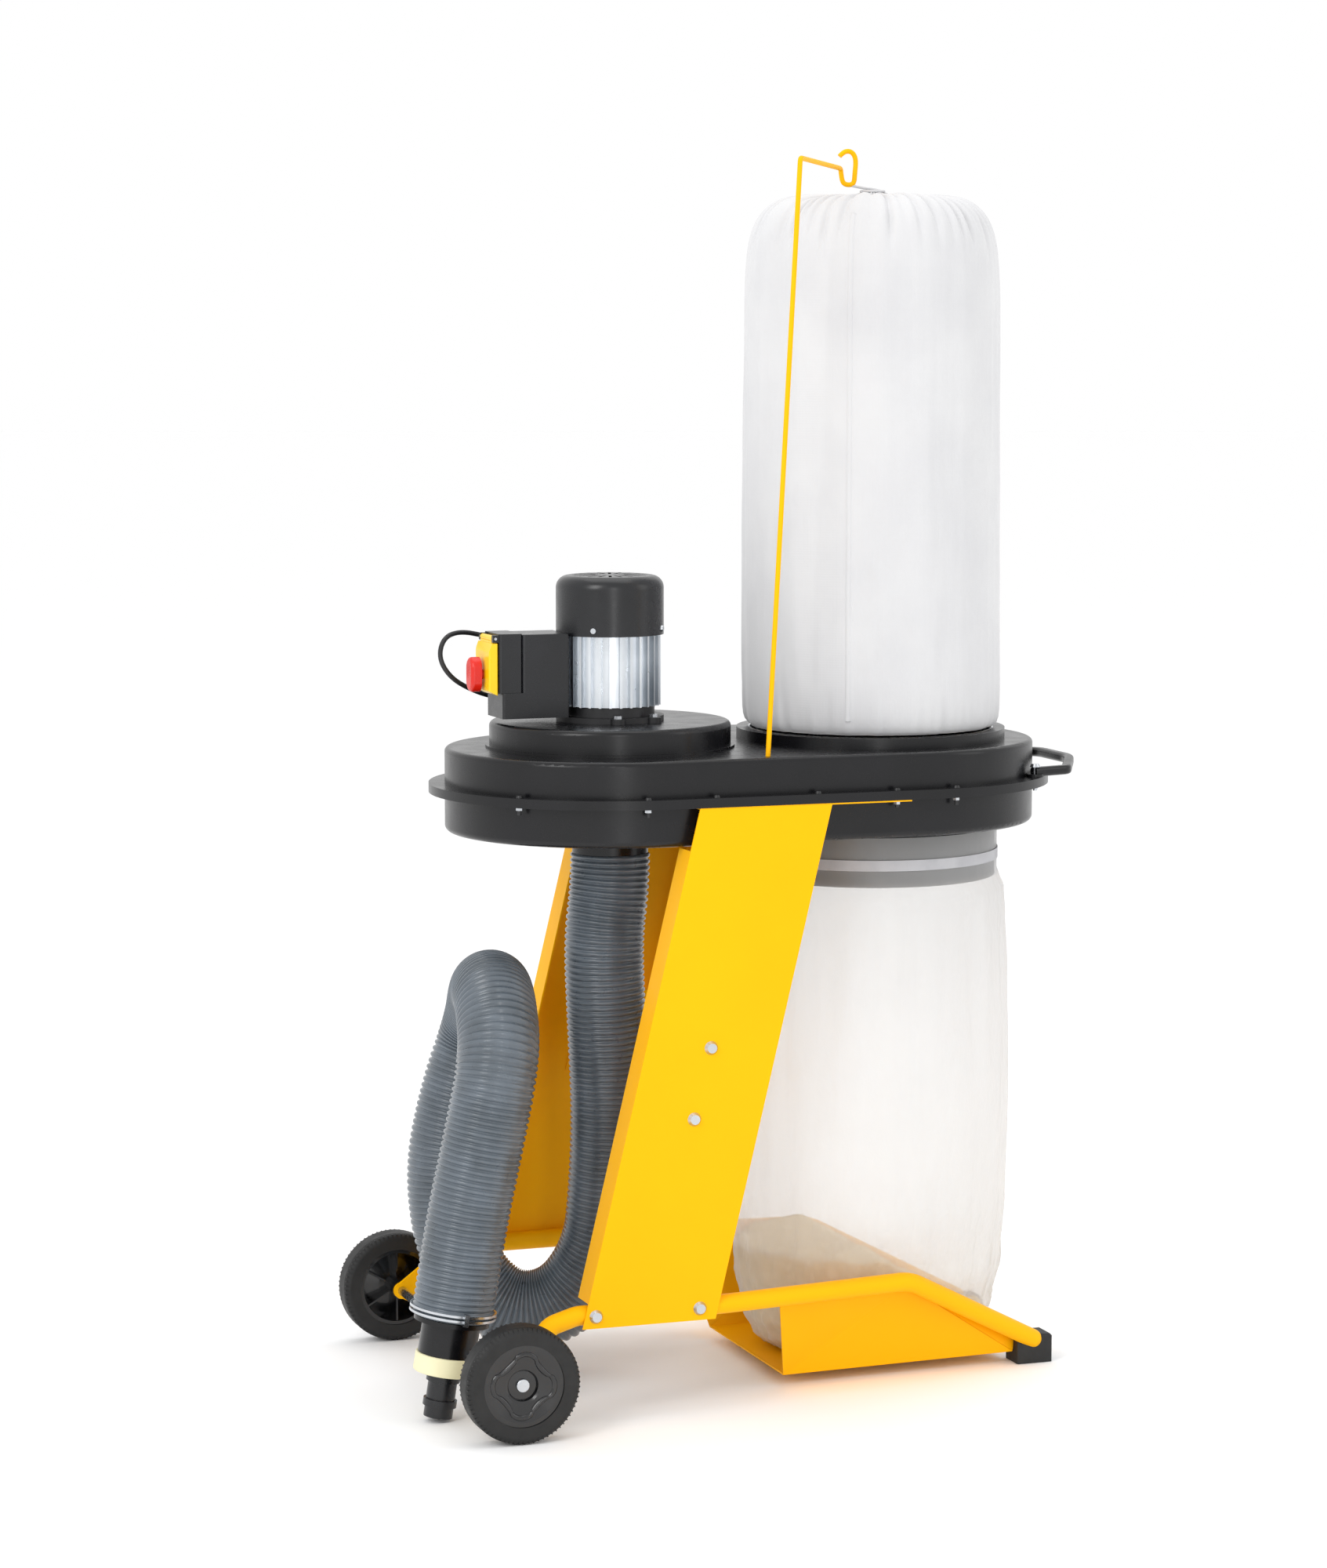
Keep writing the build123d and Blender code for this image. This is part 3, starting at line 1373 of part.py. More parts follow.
handle_bar_h = 13.0
handle_bar_w = 13.0
handle_z = case_joint_z + flange_t + handle_bar_h / 2
grip_x = fan_x + end_of_machine - handle_bar_w / 2
foot_pad_x, foot_pad_y = handle_places[1]
handle_route = [
    (foot_pad_x - 2, -foot_pad_y, handle_z),
    (foot_pad_x + 52, -foot_pad_y + 15, handle_z),
    (grip_x, -48, handle_z + 5),
    (grip_x, 48, handle_z + 5),
    (foot_pad_x + 52, foot_pad_y - 15, handle_z),
    (foot_pad_x - 2, foot_pad_y, handle_z),
]
with BuildPart() as handle:
    with BuildLine() as handle_line:
        FilletPolyline(*handle_route, radius=[14, 60, 60, 14])
    with BuildSketch(Plane(origin=handle_route[0], x_dir=(0, 0, 1), z_dir=tuple(handle_line.line % 0))):
        RectangleRounded(handle_bar_h - 0.6, handle_bar_w, 4)
    sweep()
    with BuildSketch(Plane.XY.offset(case_joint_z + flange_t)):
        with Locations(*handle_places):
            Circle(11)
    extrude(amount=4)
    with BuildSketch(Plane.XY.offset(case_joint_z + flange_t)):
        with Locations((mid_x, 0)):
            slot(case_r + 0.5)
    extrude(amount=30, mode=Mode.SUBTRACT)
    with BuildSketch(Plane.XY.offset(case_joint_z + flange_t)):
        with Locations(*handle_places):
            Circle(screw_hole_r)
    extrude(amount=30, mode=Mode.SUBTRACT)
handle.part.label = "handle"
export_step(handle.part, "parts/handle.step")

handle_head_z = handle_z + handle_bar_h / 2 + 0.2
with BuildPart() as handle_screws:
    with BuildSketch(Plane.XY.offset(strip_z - 6)):
        with Locations(*handle_places):
            Circle(screw_r)
    extrude(amount=handle_head_z - strip_z + 6)
    with BuildSketch(Plane.XY.offset(handle_head_z)):
        with Locations(*handle_places):
            Circle(7)
    extrude(amount=4, taper=25)
handle_screws.part.label = "handle_screws"
export_step(handle_screws.part, "parts/handle_screws.step")
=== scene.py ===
"""Looks of the portable dust collector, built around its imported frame."""

from __future__ import annotations

import json
import logging
import math
from dataclasses import dataclass
from enum import Enum

import bpy
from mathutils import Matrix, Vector, noise

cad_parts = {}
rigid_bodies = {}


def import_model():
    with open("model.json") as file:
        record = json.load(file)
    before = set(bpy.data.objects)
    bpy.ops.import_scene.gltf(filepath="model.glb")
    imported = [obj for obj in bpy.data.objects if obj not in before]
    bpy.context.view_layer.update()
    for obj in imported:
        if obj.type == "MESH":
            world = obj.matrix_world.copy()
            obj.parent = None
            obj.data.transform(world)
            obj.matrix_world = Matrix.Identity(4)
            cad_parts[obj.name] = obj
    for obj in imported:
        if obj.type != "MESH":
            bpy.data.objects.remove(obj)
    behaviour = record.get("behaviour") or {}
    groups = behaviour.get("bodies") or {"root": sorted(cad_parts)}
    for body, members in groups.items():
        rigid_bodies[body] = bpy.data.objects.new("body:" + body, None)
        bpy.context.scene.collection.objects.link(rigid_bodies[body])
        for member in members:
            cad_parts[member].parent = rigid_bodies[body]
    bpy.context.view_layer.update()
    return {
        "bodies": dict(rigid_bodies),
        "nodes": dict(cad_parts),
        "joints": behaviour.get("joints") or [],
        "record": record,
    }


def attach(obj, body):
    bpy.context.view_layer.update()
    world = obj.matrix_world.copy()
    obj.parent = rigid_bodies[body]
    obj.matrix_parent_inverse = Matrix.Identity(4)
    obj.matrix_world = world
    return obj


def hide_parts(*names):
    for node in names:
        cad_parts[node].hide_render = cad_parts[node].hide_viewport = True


log = logging.getLogger("dust_collector")

MM = 0.001
# Blender's noise keeps almost wholly between these two values.
NOISE_LOW, NOISE_HIGH = 0.3, 0.7
# A wave texture runs through one band in this many units.
WAVE_TURN = 6.283
# How narrow a crest the folds' ridges have.
RIDGE_SHARPNESS = 2.2
CORD_FACETS = 5
SPLINE_ORDER = 3


# ---- small helpers ------------------------------------------------------------------


def to_linear(colour: str) -> tuple[float, float, float, float]:
    """Turn an sRGB hex colour into linear values.

    Args:
        colour: six hex digits, such as "ffd504".

    Returns:
        Linear red, green and blue, with an alpha of 1.
    """
    parts = [int(colour[i : i + 2], 16) / 255 for i in (0, 2, 4)]
    linear = [c / 12.92 if c <= 0.04045 else ((c + 0.055) / 1.055) ** 2.4 for c in parts]
    return (linear[0], linear[1], linear[2], 1.0)


def mesh_object(name: str, verts: list, faces: list, smooth: bool = True) -> bpy.types.Object:
    """Make a mesh object from points and faces.

    Args:
        name: the new object's name.
        verts: points in metres, in the row frame.
        faces: tuples of point indices.
        smooth: whether the faces shade smoothly.

    Returns:
        The new object, linked to the scene.
    """
    mesh = bpy.data.meshes.new(name)
    mesh.from_pydata([tuple(v) for v in verts], [], faces)
    mesh.validate()
    mesh.polygons.foreach_set("use_smooth", [smooth] * len(mesh.polygons))
    obj = bpy.data.objects.new(name, mesh)
    bpy.context.scene.collection.objects.link(obj)
    return obj


def grid_faces(rows: int, columns: int, closed: bool = True) -> list[tuple[int, int, int, int]]:
    """Faces of a grid of points whose rows follow each other.

    Args:
        rows: how many rows of points there are.
        columns: how many points a row has.
        closed: whether each row is a ring.

    Returns:
        The quads, as tuples of point indices.
    """
    faces = []
    last = columns if closed else columns - 1
    for row in range(rows - 1):
        for column in range(last):
            after = (column + 1) % columns
            a = row * columns + column
            b = row * columns + after
            faces.append((a, b, b + columns, a + columns))
    return faces


def angles(count: int) -> list[float]:
    """The angles of a full turn's equal steps, in radians."""
    return [2 * math.pi * k / count for k in range(count)]


def around(place: Vector, side: Vector, up: Vector, radius: float, count: int) -> list[Vector]:
    """Set points on a circle.

    Args:
        place: the circle's middle.
        side: the direction of the first point.
        up: the direction a quarter of a turn on.
        radius: the circle's radius in metres.
        count: how many points there are.

    Returns:
        The points in order.
    """
    return [
        place + side * (radius * math.cos(a)) + up * (radius * math.sin(a)) for a in angles(count)
    ]


def on_oval(centre: tuple, half_x: float, half_y: float, angle: float, z: float) -> Vector:
    """Give a point of a level oval.

    Args:
        centre: the oval's middle, along X and Y.
        half_x: half its width along X.
        half_y: half its width along Y.
        angle: the place round it.
        z: its height.

    Returns:
        The point.
    """
    return Vector(
        (centre[0] + half_x * math.cos(angle), centre[1] + half_y * math.sin(angle), z)
    )


def clamp(value: float) -> float:
    """Keep a value between 0 and 1."""
    return max(0.0, min(1.0, value))


def ridge(value: float, sharpness: float) -> float:
    """Turn a soft swell about 0 into a narrow crest of at most 0.5."""
    return 0.5 - abs(value) * sharpness


@dataclass(frozen=True)
class Ripple:
    """One layer of a bag's folds: how fine it is and how far it swings."""

    round_it: float
    upwards: float
    swing: float
    start: tuple = (0.0, 0.0, 0.0)

    def at(self, angle: float, z: float) -> float:
        """Give the layer's value at a place on the bag.

        Args:
            angle: the place round the bag.
            z: the height in metres.

        Returns:
            The value, between about minus and plus the swing.
        """
        x = math.cos(angle) * self.round_it + self.start[0]
        y = math.sin(angle) * self.round_it + self.start[1]
        return noise.noise(Vector((x, y, z * self.upwards + self.start[2]))) * self.swing


def nurbs(name: str, points: list[tuple], radius: float, resolution: int = 10) -> bpy.types.Object:
    """Make a round cord as one open spline.

    Args:
        name: the new object's name.
        points: the spline's control points, in metres.
        radius: the cord's radius, or 0 for a bare line.
        resolution: the steps between two control points.

    Returns:
        The curve object.
    """
    data = bpy.data.curves.new(name, "CURVE")
    data.dimensions = "3D"
    data.bevel_depth = radius
    data.bevel_resolution = CORD_FACETS
    data.use_fill_caps = True
    data.resolution_u = resolution
    spline = data.splines.new("NURBS")
    spline.points.add(len(points) - 1)
    for point, place in zip(spline.points, points):
        point.co = (*place, 1.0)
    spline.order_u = SPLINE_ORDER
    spline.use_endpoint_u = True
    obj = bpy.data.objects.new(name, data)
    bpy.context.scene.collection.objects.link(obj)
    return obj


def spline_points(obj: bpy.types.Object) -> list[Vector]:
    """Read the points along a bare curve.

    Args:
        obj: a curve object with no thickness.

    Returns:
        Its points in order, in the row frame.
    """
    mesh = bpy.data.meshes.new_from_object(obj)
    points = [v.co.copy() for v in mesh.vertices]
    bpy.data.meshes.remove(mesh)
    return points


class Path:
    """A line through points, with a distance along it and steady frames."""

    def __init__(self, points: list[Vector]) -> None:
        """Measure the line.

        Args:
            points: the line's points in order.
        """
        self.points = points
        self.at = [0.0]
        for before, after in zip(points, points[1:]):
            self.at.append(self.at[-1] + (after - before).length)
        self.length = self.at[-1]
        tangents = []
        for i in range(len(points)):
            low = points[max(0, i - 1)]
            high = points[min(len(points) - 1, i + 1)]
            tangents.append((high - low).normalized())
        side = tangents[0].orthogonal().normalized()
        self.frames = []
        for tangent in tangents:
            side = (side - tangent * side.dot(tangent)).normalized()
            self.frames.append((tangent, side, tangent.cross(side)))

    def frame(self, distance: float) -> tuple[Vector, Vector, Vector, Vector]:
        """Give the place and frame at a distance along the line.

        Args:
            distance: metres from the start.

        Returns:
            The place, the tangent and the two directions across.
        """
        distance = min(max(distance, 0.0), self.length)
        low, high = 0, len(self.at) - 1
        while high - low > 1:
            middle = (low + high) // 2
            if self.at[middle] <= distance:
                low = middle
            else:
                high = middle
        share = (distance - self.at[low]) / max(1e-9, self.at[low + 1] - self.at[low])
        place = self.points[low].lerp(self.points[low + 1], share)
        tangent = self.frames[low][0].lerp(self.frames[low + 1][0], share).normalized()
        side = self.frames[low][1].lerp(self.frames[low + 1][1], share)
        side = (side - tangent * side.dot(tangent)).normalized()
        return place, tangent, side, tangent.cross(side)


# ---- finishes -----------------------------------------------------------------------


class Graph:
    """A material's node graph, kept short to write."""

    def __init__(self, name: str) -> None:
        """Start a material with its shader and its place in space.

        Args:
            name: the material's name.
        """
        self.material = bpy.data.materials.new(name)
        self.material.use_nodes = True
        self.tree = self.material.node_tree
        self.shader = self.tree.nodes["Principled BSDF"]
        self.place = self.node("ShaderNodeTexCoord").outputs["Object"]

    def node(self, kind: str, inputs: dict | None = None, **settings: str) -> bpy.types.Node:
        """Add a node.

        Args:
            kind: the node's type.
            inputs: input names with a value or another node's output.
            **settings: the node's own settings.

        Returns:
            The new node.
        """
        made = self.tree.nodes.new(kind)
        for key, value in settings.items():
            setattr(made, key, value)
        for key, value in (inputs or {}).items():
            if isinstance(value, bpy.types.NodeSocket):
                self.tree.links.new(value, made.inputs[key])
            else:
                made.inputs[key].default_value = value
        return made

    def noise(
        self, size_mm: float, detail: float = 3.0, stretch: tuple = (1, 1, 1)
    ) -> bpy.types.NodeSocket:
        """Add a noise pattern.

        Args:
            size_mm: the pattern's typical size.
            detail: how many finer layers it has.
            stretch: how much finer it is along each axis.

        Returns:
            The pattern's value.
        """
        mapping = self.node("ShaderNodeMapping", {"Vector": self.place, "Scale": stretch})
        made = self.node(
            "ShaderNodeTexNoise",
            {"Vector": mapping.outputs[0], "Scale": 1000 / size_mm, "Detail": detail},
        )
        return made.outputs["Fac"]

    def ranged(self, value: bpy.types.NodeSocket, low: float, high: float) -> bpy.types.NodeSocket:
        """Spread a pattern between two values.

        Args:
            value: the pattern.
            low: the value at its dark parts.
            high: the value at its light parts.

        Returns:
            The new value.
        """
        made = self.node(
            "ShaderNodeMapRange",
            {
                "Value": value,
                "From Min": NOISE_LOW,
                "From Max": NOISE_HIGH,
                "To Min": low,
                "To Max": high,
            },
        )
        return made.outputs[0]

    def mixed(self, share: bpy.types.NodeSocket, first: str, second: str) -> bpy.types.NodeSocket:
        """Mix two colours by a pattern.

        Args:
            share: the pattern, from 0 to 1.
            first: the colour at 0.
            second: the colour at 1.

        Returns:
            The mixed colour.
        """
        made = self.node("ShaderNodeMix", {"Factor": share}, data_type="RGBA")
        made.inputs[6].default_value = to_linear(first)
        made.inputs[7].default_value = to_linear(second)
        return made.outputs[2]

    def set(self, socket: str, value: float | tuple | bpy.types.NodeSocket) -> None:
        """Set a value of the shader.

        Args:
            socket: the shader's input.
            value: a value, or another node's output.
        """
        if isinstance(value, bpy.types.NodeSocket):
            self.tree.links.new(value, self.shader.inputs[socket])
        else:
            self.shader.inputs[socket].default_value = value

    def bump(self, heights: list[tuple[bpy.types.NodeSocket, float]]) -> None:
        """Give the surface its relief.

        Args:
            heights: pairs of a pattern and its height in millimetres.
        """
        normal = None
        for height, depth_mm in heights:
            inputs = {"Height": height, "Distance": depth_mm * MM, "Strength": 1.0}
            if normal is not None:
                inputs["Normal"] = normal
            normal = self.node("ShaderNodeBump", inputs).outputs[0]
        self.set("Normal", normal)


@dataclass(frozen=True)
class Finish:
    """A plain surface with a fine grain.

    The colour drifts to the shade in soft patches, and the gloss drifts a little too. Grains
    under half a millimetre wouldn't show, so the finest is drawn that coarse.
    """

    name: str
    colour: str
    shade: str
    roughness: float
    grain_mm: float = 0.6
    grain_depth_mm: float = 0.02
    patch_mm: float = 60.0
    metallic: float = 0.0
    coat: float = 0.0
    specular: float = 0.5
    coat_roughness: float = 0.08
    gloss_drift: float = 0.12

    def build(self) -> bpy.types.Material:
        """Make the material.

        Returns:
            The material.
        """
        graph = Graph(self.name)
        patches = graph.ranged(graph.noise(self.patch_mm, 4.0), 0.0, 1.0)
        graph.set("Base Color", graph.mixed(patches, self.colour, self.shade))
        glossy = self.roughness * (1 - self.gloss_drift)
        dull = self.roughness * (1 + self.gloss_drift)
        graph.set("Roughness", graph.ranged(graph.noise(self.patch_mm / 3), glossy, dull))
        graph.set("Metallic", self.metallic)
        graph.set("Coat Weight", self.coat)
        graph.set("Coat Roughness", self.coat_roughness)
        graph.set("Specular IOR Level", self.specular)
        graph.bump(self.relief(graph))
        self.extra(graph)
        return graph.material

    def relief(self, graph: Graph) -> list[tuple[bpy.types.NodeSocket, float]]:
        """What the surface's relief is made of.

        Args:
            graph: the material's graph.

        Returns:
            Pairs of a pattern and its depth in millimetres.
        """
        return [(graph.noise(self.grain_mm, 2.0), self.grain_depth_mm)]

    def extra(self, graph: Graph) -> None:
        """Add what a special finish has beyond the grain.

        Args:
            graph: the material's graph.
        """


@dataclass(frozen=True)
class PowderCoat(Finish):
    """Sprayed and baked paint on sheet steel: its faint orange peel softens each highlight."""

    peel_mm: float = 3.5
    peel_depth_mm: float = 0.03
    dust_depth_mm: float = 0.006

    def relief(self, graph: Graph) -> list[tuple[bpy.types.NodeSocket, float]]:
        """The orange peel with the fine dust in it."""
        return [
            (graph.noise(self.peel_mm, 1.0), self.peel_depth_mm),
            (graph.noise(self.grain_mm, 2.0), self.dust_depth_mm),
        ]


@dataclass(frozen=True)
class TurnedMetal(Finish):
    """Bare metal with fine lines along one axis, which draw its highlights out."""

    lines: tuple = (1.0, 1.0, 0.04)
    line_mm: float = 0.7
    line_depth_mm: float = 0.02

    def relief(self, graph: Graph) -> list[tuple[bpy.types.NodeSocket, float]]:
        """The drawn lines."""
        return [(graph.noise(self.line_mm, 2.0, self.lines), self.line_depth_mm)]


@dataclass(frozen=True)
class FilterCloth(Finish):
    """Felted filter cloth: a fine weave, a soft nap and faint folds, all without gloss.

    Its threads lie closer than a millimetre, which wouldn't show, so they are drawn coarser.
    """

    thread_mm: float = 1.6
    thread_depth_mm: float = 0.03
    nap_mm: float = 0.5
    fold_mm: float = 28.0
    fold_depth_mm: float = 1.2
    sheen: float = 0.25
    glow: float = 0.08
    glow_depth: float = 0.004

    def relief(self, graph: Graph) -> list[tuple[bpy.types.NodeSocket, float]]:
        """The weave, the nap and the faint folds."""
        weave = [
            graph.node(
                "ShaderNodeTexWave",
                {
                    "Vector": graph.place,
                    "Scale": 1000 / self.thread_mm / WAVE_TURN,
                    "Distortion": 1.2,
                    "Detail": 2.0,
                },
                bands_direction=direction,
            )
            for direction in "ZX"
        ]
        return [
            *((threads.outputs["Fac"], self.thread_depth_mm) for threads in weave),
            (graph.noise(self.nap_mm, 2.0), self.thread_depth_mm),
            (graph.noise(self.fold_mm, 3.0, (1, 1, 0.35)), self.fold_depth_mm),
        ]

    def extra(self, graph: Graph) -> None:
        """Add the nap's sheen and the light that comes through."""
        graph.set("Sheen Weight", self.sheen)
        graph.set("Sheen Roughness", 0.5)
        graph.set("Subsurface Weight", self.glow)
        graph.set("Subsurface Radius", (self.glow_depth,) * 3)


@dataclass(frozen=True)
class ClearFilm(Finish):
    """Thin milky film: mostly see-through, brighter where it turns away."""

    clear: float = 0.58
    milk: float = 0.45
    rim_blend: float = 0.22
    rim_cover: float = 0.90
    dent_mm: float = 18.0
    dent_depth_mm: float = 1.8
    crinkle_mm: float = 5.0
    crinkle_depth_mm: float = 0.3

    def extra(self, graph: Graph) -> None:
        """Mix the film's gloss with what is seen through it."""
        tree = graph.tree
        through = graph.node("ShaderNodeBsdfTransparent", {"Color": (0.97, 0.97, 0.97, 1.0)})
        milk = graph.node("ShaderNodeBsdfTranslucent", {"Color": to_linear("f7f7f7")})
        body = graph.node("ShaderNodeMixShader", {"Fac": self.milk})
        tree.links.new(graph.shader.outputs[0], body.inputs[1])
        tree.links.new(milk.outputs[0], body.inputs[2])
        rim = graph.node("ShaderNodeLayerWeight", {"Blend": self.rim_blend})
        share = graph.node(
            "ShaderNodeMapRange",
            {
                "Value": rim.outputs["Facing"],
                "To Min": 1.0 - self.clear,
                "To Max": self.rim_cover,
            },
        )
        skin = graph.node("ShaderNodeMixShader", {"Fac": share.outputs[0]})
        tree.links.new(through.outputs[0], skin.inputs[1])
        tree.links.new(body.outputs[0], skin.inputs[2])
        out = tree.nodes["Material Output"]
        tree.links.new(skin.outputs[0], out.inputs["Surface"])

    def relief(self, graph: Graph) -> list[tuple[bpy.types.NodeSocket, float]]:
        """Soft dents and small crinkles."""
        return [
            (graph.noise(self.dent_mm, 4.0, (1, 1, 0.5)), self.dent_depth_mm),
            (graph.noise(self.crinkle_mm, 3.0), self.crinkle_depth_mm),
        ]


class Slot(Enum):
    """The record's material slots, each with its finish."""

    # Moulded ABS: deep black with a soft sheen and a fine, even grain.
    CASE = (
        "case_black",
        Finish("moulded_black_abs", "0c0c0e", "121215", 0.27, 0.8, 0.010, 90, specular=0.38),
    )
    # Powder coat: full yellow with broad, low highlights.
    YELLOW = (
        "yellow_paint",
        PowderCoat("yellow_powder_coat", "ffba00", "fdb600", 0.44, 0.5, 0.01, 160, specular=0.12),
    )
    # Extruded aluminium: pale and cool, with long highlights up its lines.
    ALUMINIUM = (
        "aluminium",
        TurnedMetal("extruded_aluminium", "dfe3e7", "c9ced3", 0.30, metallic=1.0),
    )
    # Zinc plate on steel: bright, a little blue and slightly blurred.
    STEEL = (
        "steel",
        TurnedMetal("zinc_plated_steel", "d2d5d9", "bcc0c5", 0.26, metallic=1.0, lines=(1, 0.1, 1)),
    )
    # Blackened steel: dark with a dull sheen.
    BLACK_STEEL = ("black_steel", Finish("black_coated_steel", "161618", "1f1f21", 0.42))
    # Moulded nylon: black with sharper highlights than the casing.
    COWL = (
        "cowl_black",
        Finish("gloss_black_nylon", "101114", "17181c", 0.28, 0.7, 0.012, 50, specular=0.5),
    )
    # Coloured ABS: bright and even, with small clean highlights.
    SWITCH = ("switch_yellow", Finish("yellow_abs", "fccf08", "f6c800", 0.30, 0.6, 0.006))
    RED = ("button_red", Finish("red_abs", "d8200f", "c81a0c", 0.28, 0.6, 0.006))
    GREEN = ("button_green", Finish("green_abs", "1f8c3a", "187a30", 0.30, 0.6, 0.006))
    # Soft PVC sheath: black with a waxy, broad highlight.
    CABLE = ("cable_rubber", Finish("pvc_cable_sheath", "131315", "1b1b1d", 0.48, 0.5, 0.02, 30))
    # Plain brass: warm yellow metal on the plug's pins.
    BRASS = ("brass", TurnedMetal("plain_brass", "c9a85a", "b8974c", 0.28, metallic=1.0))
    # Ribbed PVC: blue-grey with a bright line on each rib from its skin.
    HOSE = (
        "hose_grey",
        Finish("ribbed_pvc_hose", "626b74", "4e565d", 0.30, 1.2, 0.03, 45, coat=0.25),
    )
    # Cream PVC: pale and slightly yellow, half dull.
    CREAM = ("cream_ring", Finish("cream_pvc", "efe9c4", "e6dfb4", 0.45, 0.6, 0.01))
    # Filter felt: light grey and dull, with a soft edge of light.
    CLOTH = ("cloth", FilterCloth("filter_felt", "d3d3d4", "cbcbcd", 0.85, 0.6, 0.02, 120))
    # Polyethylene film: what is inside shows through a thin milky gloss.
    FILM = ("film", ClearFilm("clear_pe_film", "f2f2f2", "ebebeb", 0.22, patch_mm=80))
    # Solid rubber: dark and dull, with a coarse grain.
    TYRE = ("tyre", Finish("solid_rubber_tyre", "0e0e0e", "161616", 0.58, 0.9, 0.05, 40))
    # Moulded polypropylene: glossy black that mirrors the lights.
    HUB = (
        "hub_black",
        Finish("gloss_black_pp", "0c0c0d", "131315", 0.18, 0.9, 0.006, 40, coat=0.4),
    )
    # Moulded rubber: dark grey and dull.
    FOOT = ("foot_rubber", Finish("moulded_rubber", "151515", "1d1d1d", 0.6, 0.8, 0.05, 30))
    # Steel sheets and lacquered copper seen together: brown and half metallic.
    WINDINGS = ("copper_steel", Finish("laminated_steel", "7d6a58", "5e5145", 0.5, metallic=0.7))

    @property
    def key(self) -> str:
        """The slot's name in the record."""
        return self.value[0]

    @property
    def finish(self) -> Finish:
        """The slot's finish."""
        return self.value[1]


class Finishes:
    """Makes each finish once and puts it on things."""

    def __init__(self) -> None:
        """Start with nothing made."""
        self.made: dict[str, bpy.types.Material] = {}

    def get(self, finish: Finish) -> bpy.types.Material:
        """Give a finish's material.

        Args:
            finish: the finish.

        Returns:
            Its material, made on first use.
        """
        if finish.name not in self.made:
            self.made[finish.name] = finish.build()
        return self.made[finish.name]

    def dress(
        self, obj: bpy.types.Object, slot: Slot, finish: Finish | None = None
    ) -> bpy.types.Object:
        """Give a new piece its finish.

        Args:
            obj: the piece.
            slot: the record's slot that it belongs to.
            finish: a finish of its own, if it isn't the slot's.

        Returns:
            The piece.
        """
        obj.data.materials.clear()
        obj.data.materials.append(self.get(finish or slot.finish))
        return obj

    def dress_frame(self, frame: dict) -> None:
        """Give every carried-over node its finish.

        Args:
            frame: the loaded frame.
        """
        by_key = {slot.key: slot for slot in Slot}
        for part in frame["record"]["subparts"]:
            obj = frame["nodes"][part["node"]]
            material = self.get(by_key[part["material_slot"]].finish)
            if not obj.material_slots:
                obj.data.materials.append(material)
            for held in obj.material_slots:
                held.material = material
            log.info("dressed %s", part["node"])


# ---- sub-assemblies -----------------------------------------------------------------


@dataclass
class SubAssembly:
    """A group of pieces that is built and dressed together."""

    frame: dict
    finishes: Finishes
    body: str = "machine"

    def add(
        self, obj: bpy.types.Object, slot: Slot, finish: Finish | None = None
    ) -> bpy.types.Object:
        """Finish a new piece and let it ride.

        Args:
            obj: the piece.
            slot: its material slot.
            finish: a finish of its own.

        Returns:
            The piece.
        """
        self.finishes.dress(obj, slot, finish)
        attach(obj, self.body)
        log.info("piece %s", obj.name)
        return obj


@dataclass
class SuctionHose(SubAssembly):
    """The ribbed suction hose, from the inlet's clamp to its end fittings."""

    radius: float = 0.052
    rib_pitch: float = 0.0078
    rib_height: float = 0.0030
    # Pairs of share of the pitch and share of the height, along one rib.
    rib: tuple = (
        (0.0, 0.0),
        (0.16, 0.55),
        (0.30, 0.95),
        (0.45, 1.0),
        (0.60, 0.95),
        (0.74, 0.55),
        (0.88, 0.05),
    )
    segments: int = 56
    route: tuple = (
        (-0.175, 0.0, 0.695),
        (-0.175, 0.0, 0.654),
        (-0.185, 0.0, 0.580),
        (-0.180, 0.001, 0.470),
        (-0.174, 0.002, 0.350),
        (-0.178, 0.003, 0.250),
        (-0.186, 0.006, 0.165),
        (-0.232, 0.027, 0.090),
        (-0.302, 0.055, 0.080),
        (-0.360, 0.079, 0.142),
        (-0.381, 0.084, 0.264),
        (-0.357, 0.081, 0.380),
        (-0.325, 0.078, 0.465),
        (-0.338, 0.011, 0.526),
        (-0.359, -0.085, 0.526),
        (-0.373, -0.152, 0.465),
        (-0.397, -0.155, 0.354),
        (-0.422, -0.155, 0.243),
        (-0.439, -0.154, 0.132),
    )

    def build(self) -> None:
        """Build the hose along its line."""
        line = nurbs("hose_line", list(self.route), 0.0, 24)
        points = spline_points(line)
        bpy.data.objects.remove(line)
        path = Path(points)
        hose = self.skin(path)
        self.add(hose, Slot.HOSE)
        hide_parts("hose")

    def skin(self, path: Path) -> bpy.types.Object:
        """Make the ribbed skin.

        Args:
            path: the hose's line.

        Returns:
            The skin.
        """
        count = int(path.length / self.rib_pitch)
        pitch = path.length / count
        verts = []
        for number in range(count):
            for share, height in self.rib:
                place, _, side, up = path.frame((number + share) * pitch)
                radius = self.radius - self.rib_height * (1.0 - height)
                verts += around(place, side, up, radius, self.segments)
        rows = count * len(self.rib)
        faces = grid_faces(rows, self.segments)
        faces.append(tuple(range(self.segments))[::-1])
        faces.append(tuple(range((rows - 1) * self.segments, rows * self.segments)))
        return mesh_object("hose_skin", verts, faces)


